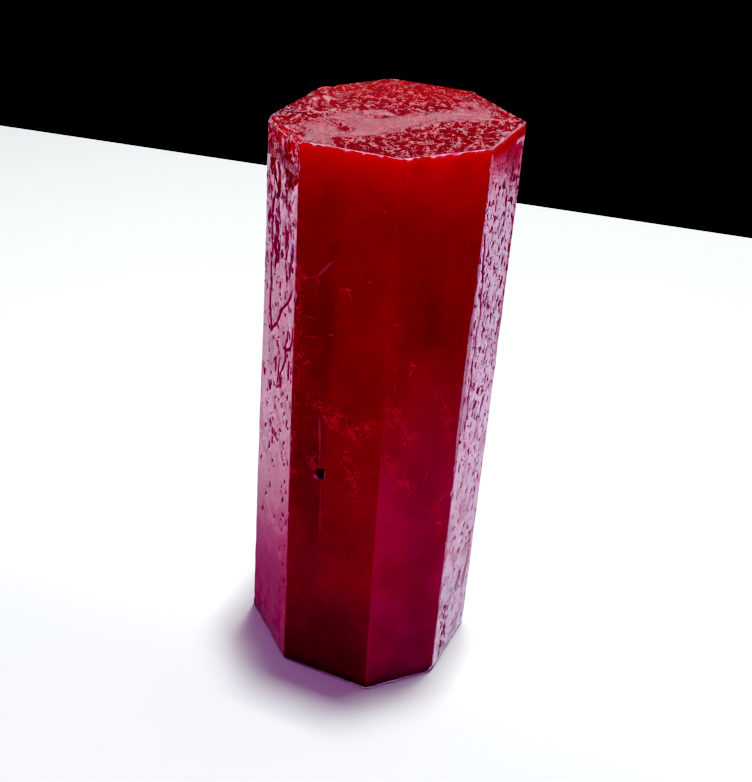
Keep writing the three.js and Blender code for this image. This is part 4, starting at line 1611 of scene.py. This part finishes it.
def black_finish() -> bpy.types.Material:
    """A material that gives no light back."""
    material, w = blank_material("black_card")
    dark = w.add("Emission", {"Color": (0.0, 0.0, 0.0), "Strength": 0.0})
    w.add("OutputMaterial", {"Surface": dark.outputs["Emission"]})
    return material


# ---------------------------------------------------------------------------------------
# Sub-assemblies
# ---------------------------------------------------------------------------------------


@dataclass
class Crystal:
    """The crystal itself, one closed mesh in place of the solid of the frame."""

    height: float

    def build(self) -> bpy.types.Object:
        """Makes the mesh, dresses it and ties it to the frame."""
        form = CrystalForm(self.height)
        skin = form.build()
        columns = sum(side.columns for side in form.faces)
        mesh = closed_grid_mesh("crystal", skin.point * MM, columns)
        crystal = bpy.data.objects.new("crystal", mesh)
        bpy.context.scene.collection.objects.link(crystal)
        for name, values in skin.paint().items():
            self.mark(mesh, name, values)
        mesh.materials.append(BerylFinish(self.height).build())
        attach(crystal, "root")
        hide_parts(NODE)
        LOG.info("crystal: %d vertices, %d faces", len(mesh.vertices), len(mesh.polygons))
        return crystal

    def mark(self, mesh: bpy.types.Mesh, name: str, values: Array) -> None:
        """Keeps one number per vertex on the mesh; the two middle points take their rings' own."""
        attribute = mesh.attributes.new(name, "FLOAT", "POINT")
        attribute.data.foreach_set("value", np.append(values, [values[0], values[-1]]).astype(np.float32))


@dataclass(frozen=True)
class SoftLight:
    """A square area light: its place, what it looks at, its side, its power and its colour."""

    name: str
    place: tuple[float, float, float]
    aim: tuple[float, float, float]
    side: float
    watts: float
    colour: Colour

    def build(self) -> None:
        """Puts the light in the scene. It lights and is mirrored, but isn't seen directly."""
        light = bpy.data.lights.new(self.name, "AREA")
        light.shape = "SQUARE"
        light.size = self.side * MM
        light.energy = self.watts
        light.color = self.colour
        lamp = bpy.data.objects.new(self.name, light)
        lamp.visible_camera = False
        aim = Vector(self.aim) - Vector(self.place)
        lamp.rotation_euler = aim.to_track_quat("-Z", "Y").to_euler()
        lamp.location = Vector(self.place) * MM
        bpy.context.scene.collection.objects.link(lamp)


def flat_sheet(
    name: str, lift: float, outline: Sequence[tuple[float, float]], finish: bpy.types.Material
) -> bpy.types.Object:
    """A level sheet of the stage at this height with this outline, in millimetres."""
    mesh = bpy.data.meshes.new(name)
    corners = [(x * MM, y * MM, lift * MM) for x, y in outline]
    mesh.from_pydata(corners, [], [tuple(range(len(corners)))])
    mesh.materials.append(finish)
    sheet = bpy.data.objects.new(name, mesh)
    bpy.context.scene.collection.objects.link(sheet)
    return sheet


@dataclass
class Studio:
    """The table top, the lights and the camera."""

    camera_place: tuple[float, float, float] = (-0.06, -97.36, 86.36)
    pitch: float = 30.52  # degrees down
    roll: float = 4.45  # degrees
    focal_pixels: float = 1087.9
    table_back: float = 143.4  # where the table ends behind the crystal, on the axis
    table_slant: float = -0.208  # how that edge runs: millimetres of y for each of x
    lights: tuple[SoftLight, ...] = (
        SoftLight("key", (16, 35, 478), (0, 0, 0), 42, 2.9, (0.94, 1.02, 0.93)),
        SoftLight("above", (-60, -20, 470), (0, 0, 0), 420, 0.85, (1.02, 0.7, 1.04)),
        SoftLight("back_fill", (190, 230, 330), (20, 30, 0), 380, 0.3, (1.0, 1.0, 1.0)),
        SoftLight("front_fill", (-20, -560, 170), (0, 0, 24), 360, 1.55, (1.0, 0.4, 1.0)),
        SoftLight("low_back", (-60, 330, 190), (0, 0, 58), 160, 0.012, (0.97, 0.97, 1.0)),
    )

    wide: float = 1200.0  # how far the table goes to either side
    front: float = -900.0  # where it ends in front
    left_end: float = -400.0  # how far to the left the lilac card goes
    lilac_lift: float = -0.2
    black_lift: float = -0.1
    # Where the black card ends under the crystal, from the right to the left.
    black_end: tuple[tuple[float, float], ...] = (
        (1200.0, -9.6), (9.0, -9.6), (1.2, -13.9), (-8.0, -10.2), (-1200.0, -10.2),
    )
    room_light: float = 0.0012
    # Brightness in and out, of all colours and of blue; the last point of the first is an end.
    tone_curve: tuple[tuple[float, float], ...] = ((0.06, 0.012), (0.2, 0.17), (0.5, 0.52), (1.0, 1.0))
    blue_curve: tuple[tuple[float, float], ...] = ((0.012, 0.024), (0.05, 0.065), (0.2, 0.205), (0.5, 0.5))

    def build(self) -> None:
        """Puts everything in the scene."""
        self.develop()
        self.table()
        self.cards()
        for light in self.lights:
            light.build()
        self.room()
        self.camera()

    def behind(self, x: float) -> float:
        """Where the table ends behind the crystal, this far to the right."""
        return self.table_back + self.table_slant * x

    def level_outline(self, left: float) -> list[tuple[float, float]]:
        """The outline of the table from this far left, all the way to the right."""
        wide, front = self.wide, self.front
        return [(left, front), (wide, front), (wide, self.behind(wide)), (left, self.behind(left))]

    def table(self) -> None:
        """The table top: a flat sheet that ends a little way behind the crystal."""
        sheet = flat_sheet("table", 0.0, self.level_outline(-self.wide), TableFinish().build())
        sheet.visible_glossy = False

    def cards(self) -> None:
        """Two cards just under the table, which only mirrored rays meet, and they miss the table.

        The black one, in front, is a painted shade: it stands for the dark side of the room and the shaded
        table in front, and ends at the foot of the front faces. The lilac one is a painted reflection of the
        brightly lit table to either side: it is darker near the crystal on the left, where the crystal's own
        shade lies.
        """
        black = [(-self.wide, self.front), (self.wide, self.front), *self.black_end]
        for name, lift, outline, finish in (
            ("lilac_card", self.lilac_lift, self.level_outline(self.left_end), GlowFinish().build()),
            ("black_card", self.black_lift, black, black_finish()),
        ):
            card = flat_sheet(name, lift, outline, finish)
            for ray in ("camera", "diffuse", "transmission", "shadow"):
                setattr(card, f"visible_{ray}", False)

    def develop(self) -> None:
        """Plain colours, with the deepest shades drawn a little towards black."""
        view = bpy.context.scene.view_settings
        view.view_transform = "Standard"
        view.use_curve_mapping = True
        blue, all_colours = view.curve_mapping.curves[2], view.curve_mapping.curves[3]
        all_colours.points[1].location = self.tone_curve[-1]
        for point in self.tone_curve[:-1]:
            all_colours.points.new(*point)
        for point in self.blue_curve:
            blue.points.new(*point)
        view.curve_mapping.update()

    def room(self) -> None:
        """A nearly black room."""
        world = bpy.data.worlds.new("room")
        world.use_nodes = True
        light = self.room_light
        world.node_tree.nodes["Background"].inputs["Color"].default_value = (light, light, light, 1.0)
        bpy.context.scene.world = world

    def camera(self) -> None:
        """The camera: pitched down from level, looking along +Y, and rolled a little."""
        p, r = math.radians(self.pitch), math.radians(self.roll)
        ahead = Vector((0, math.cos(p), -math.sin(p)))
        up = Vector((0, math.sin(p), math.cos(p)))
        right = Vector((1, 0, 0))
        right_rolled = math.cos(r) * right + math.sin(r) * up
        up_rolled = -math.sin(r) * right + math.cos(r) * up
        data = bpy.data.cameras.new("camera")
        data.sensor_width = 36.0
        data.lens = self.focal_pixels * data.sensor_width / PICTURE_HEIGHT
        data.clip_start = 1.0 * MM
        camera = bpy.data.objects.new("camera", data)
        turn = Matrix([right_rolled, up_rolled, -ahead]).transposed()
        camera.matrix_world = Matrix.Translation(Vector(self.camera_place) * MM) @ turn.to_4x4()
        bpy.context.scene.collection.objects.link(camera)
        bpy.context.scene.camera = camera


def main() -> None:
    """Loads the frame, and builds the crystal and the studio."""
    logging.basicConfig(level=logging.INFO, format="%(name)s: %(message)s")
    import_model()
    Crystal(height=HEIGHT).build()
    Studio().build()


if __name__ == "__main__":
    main()
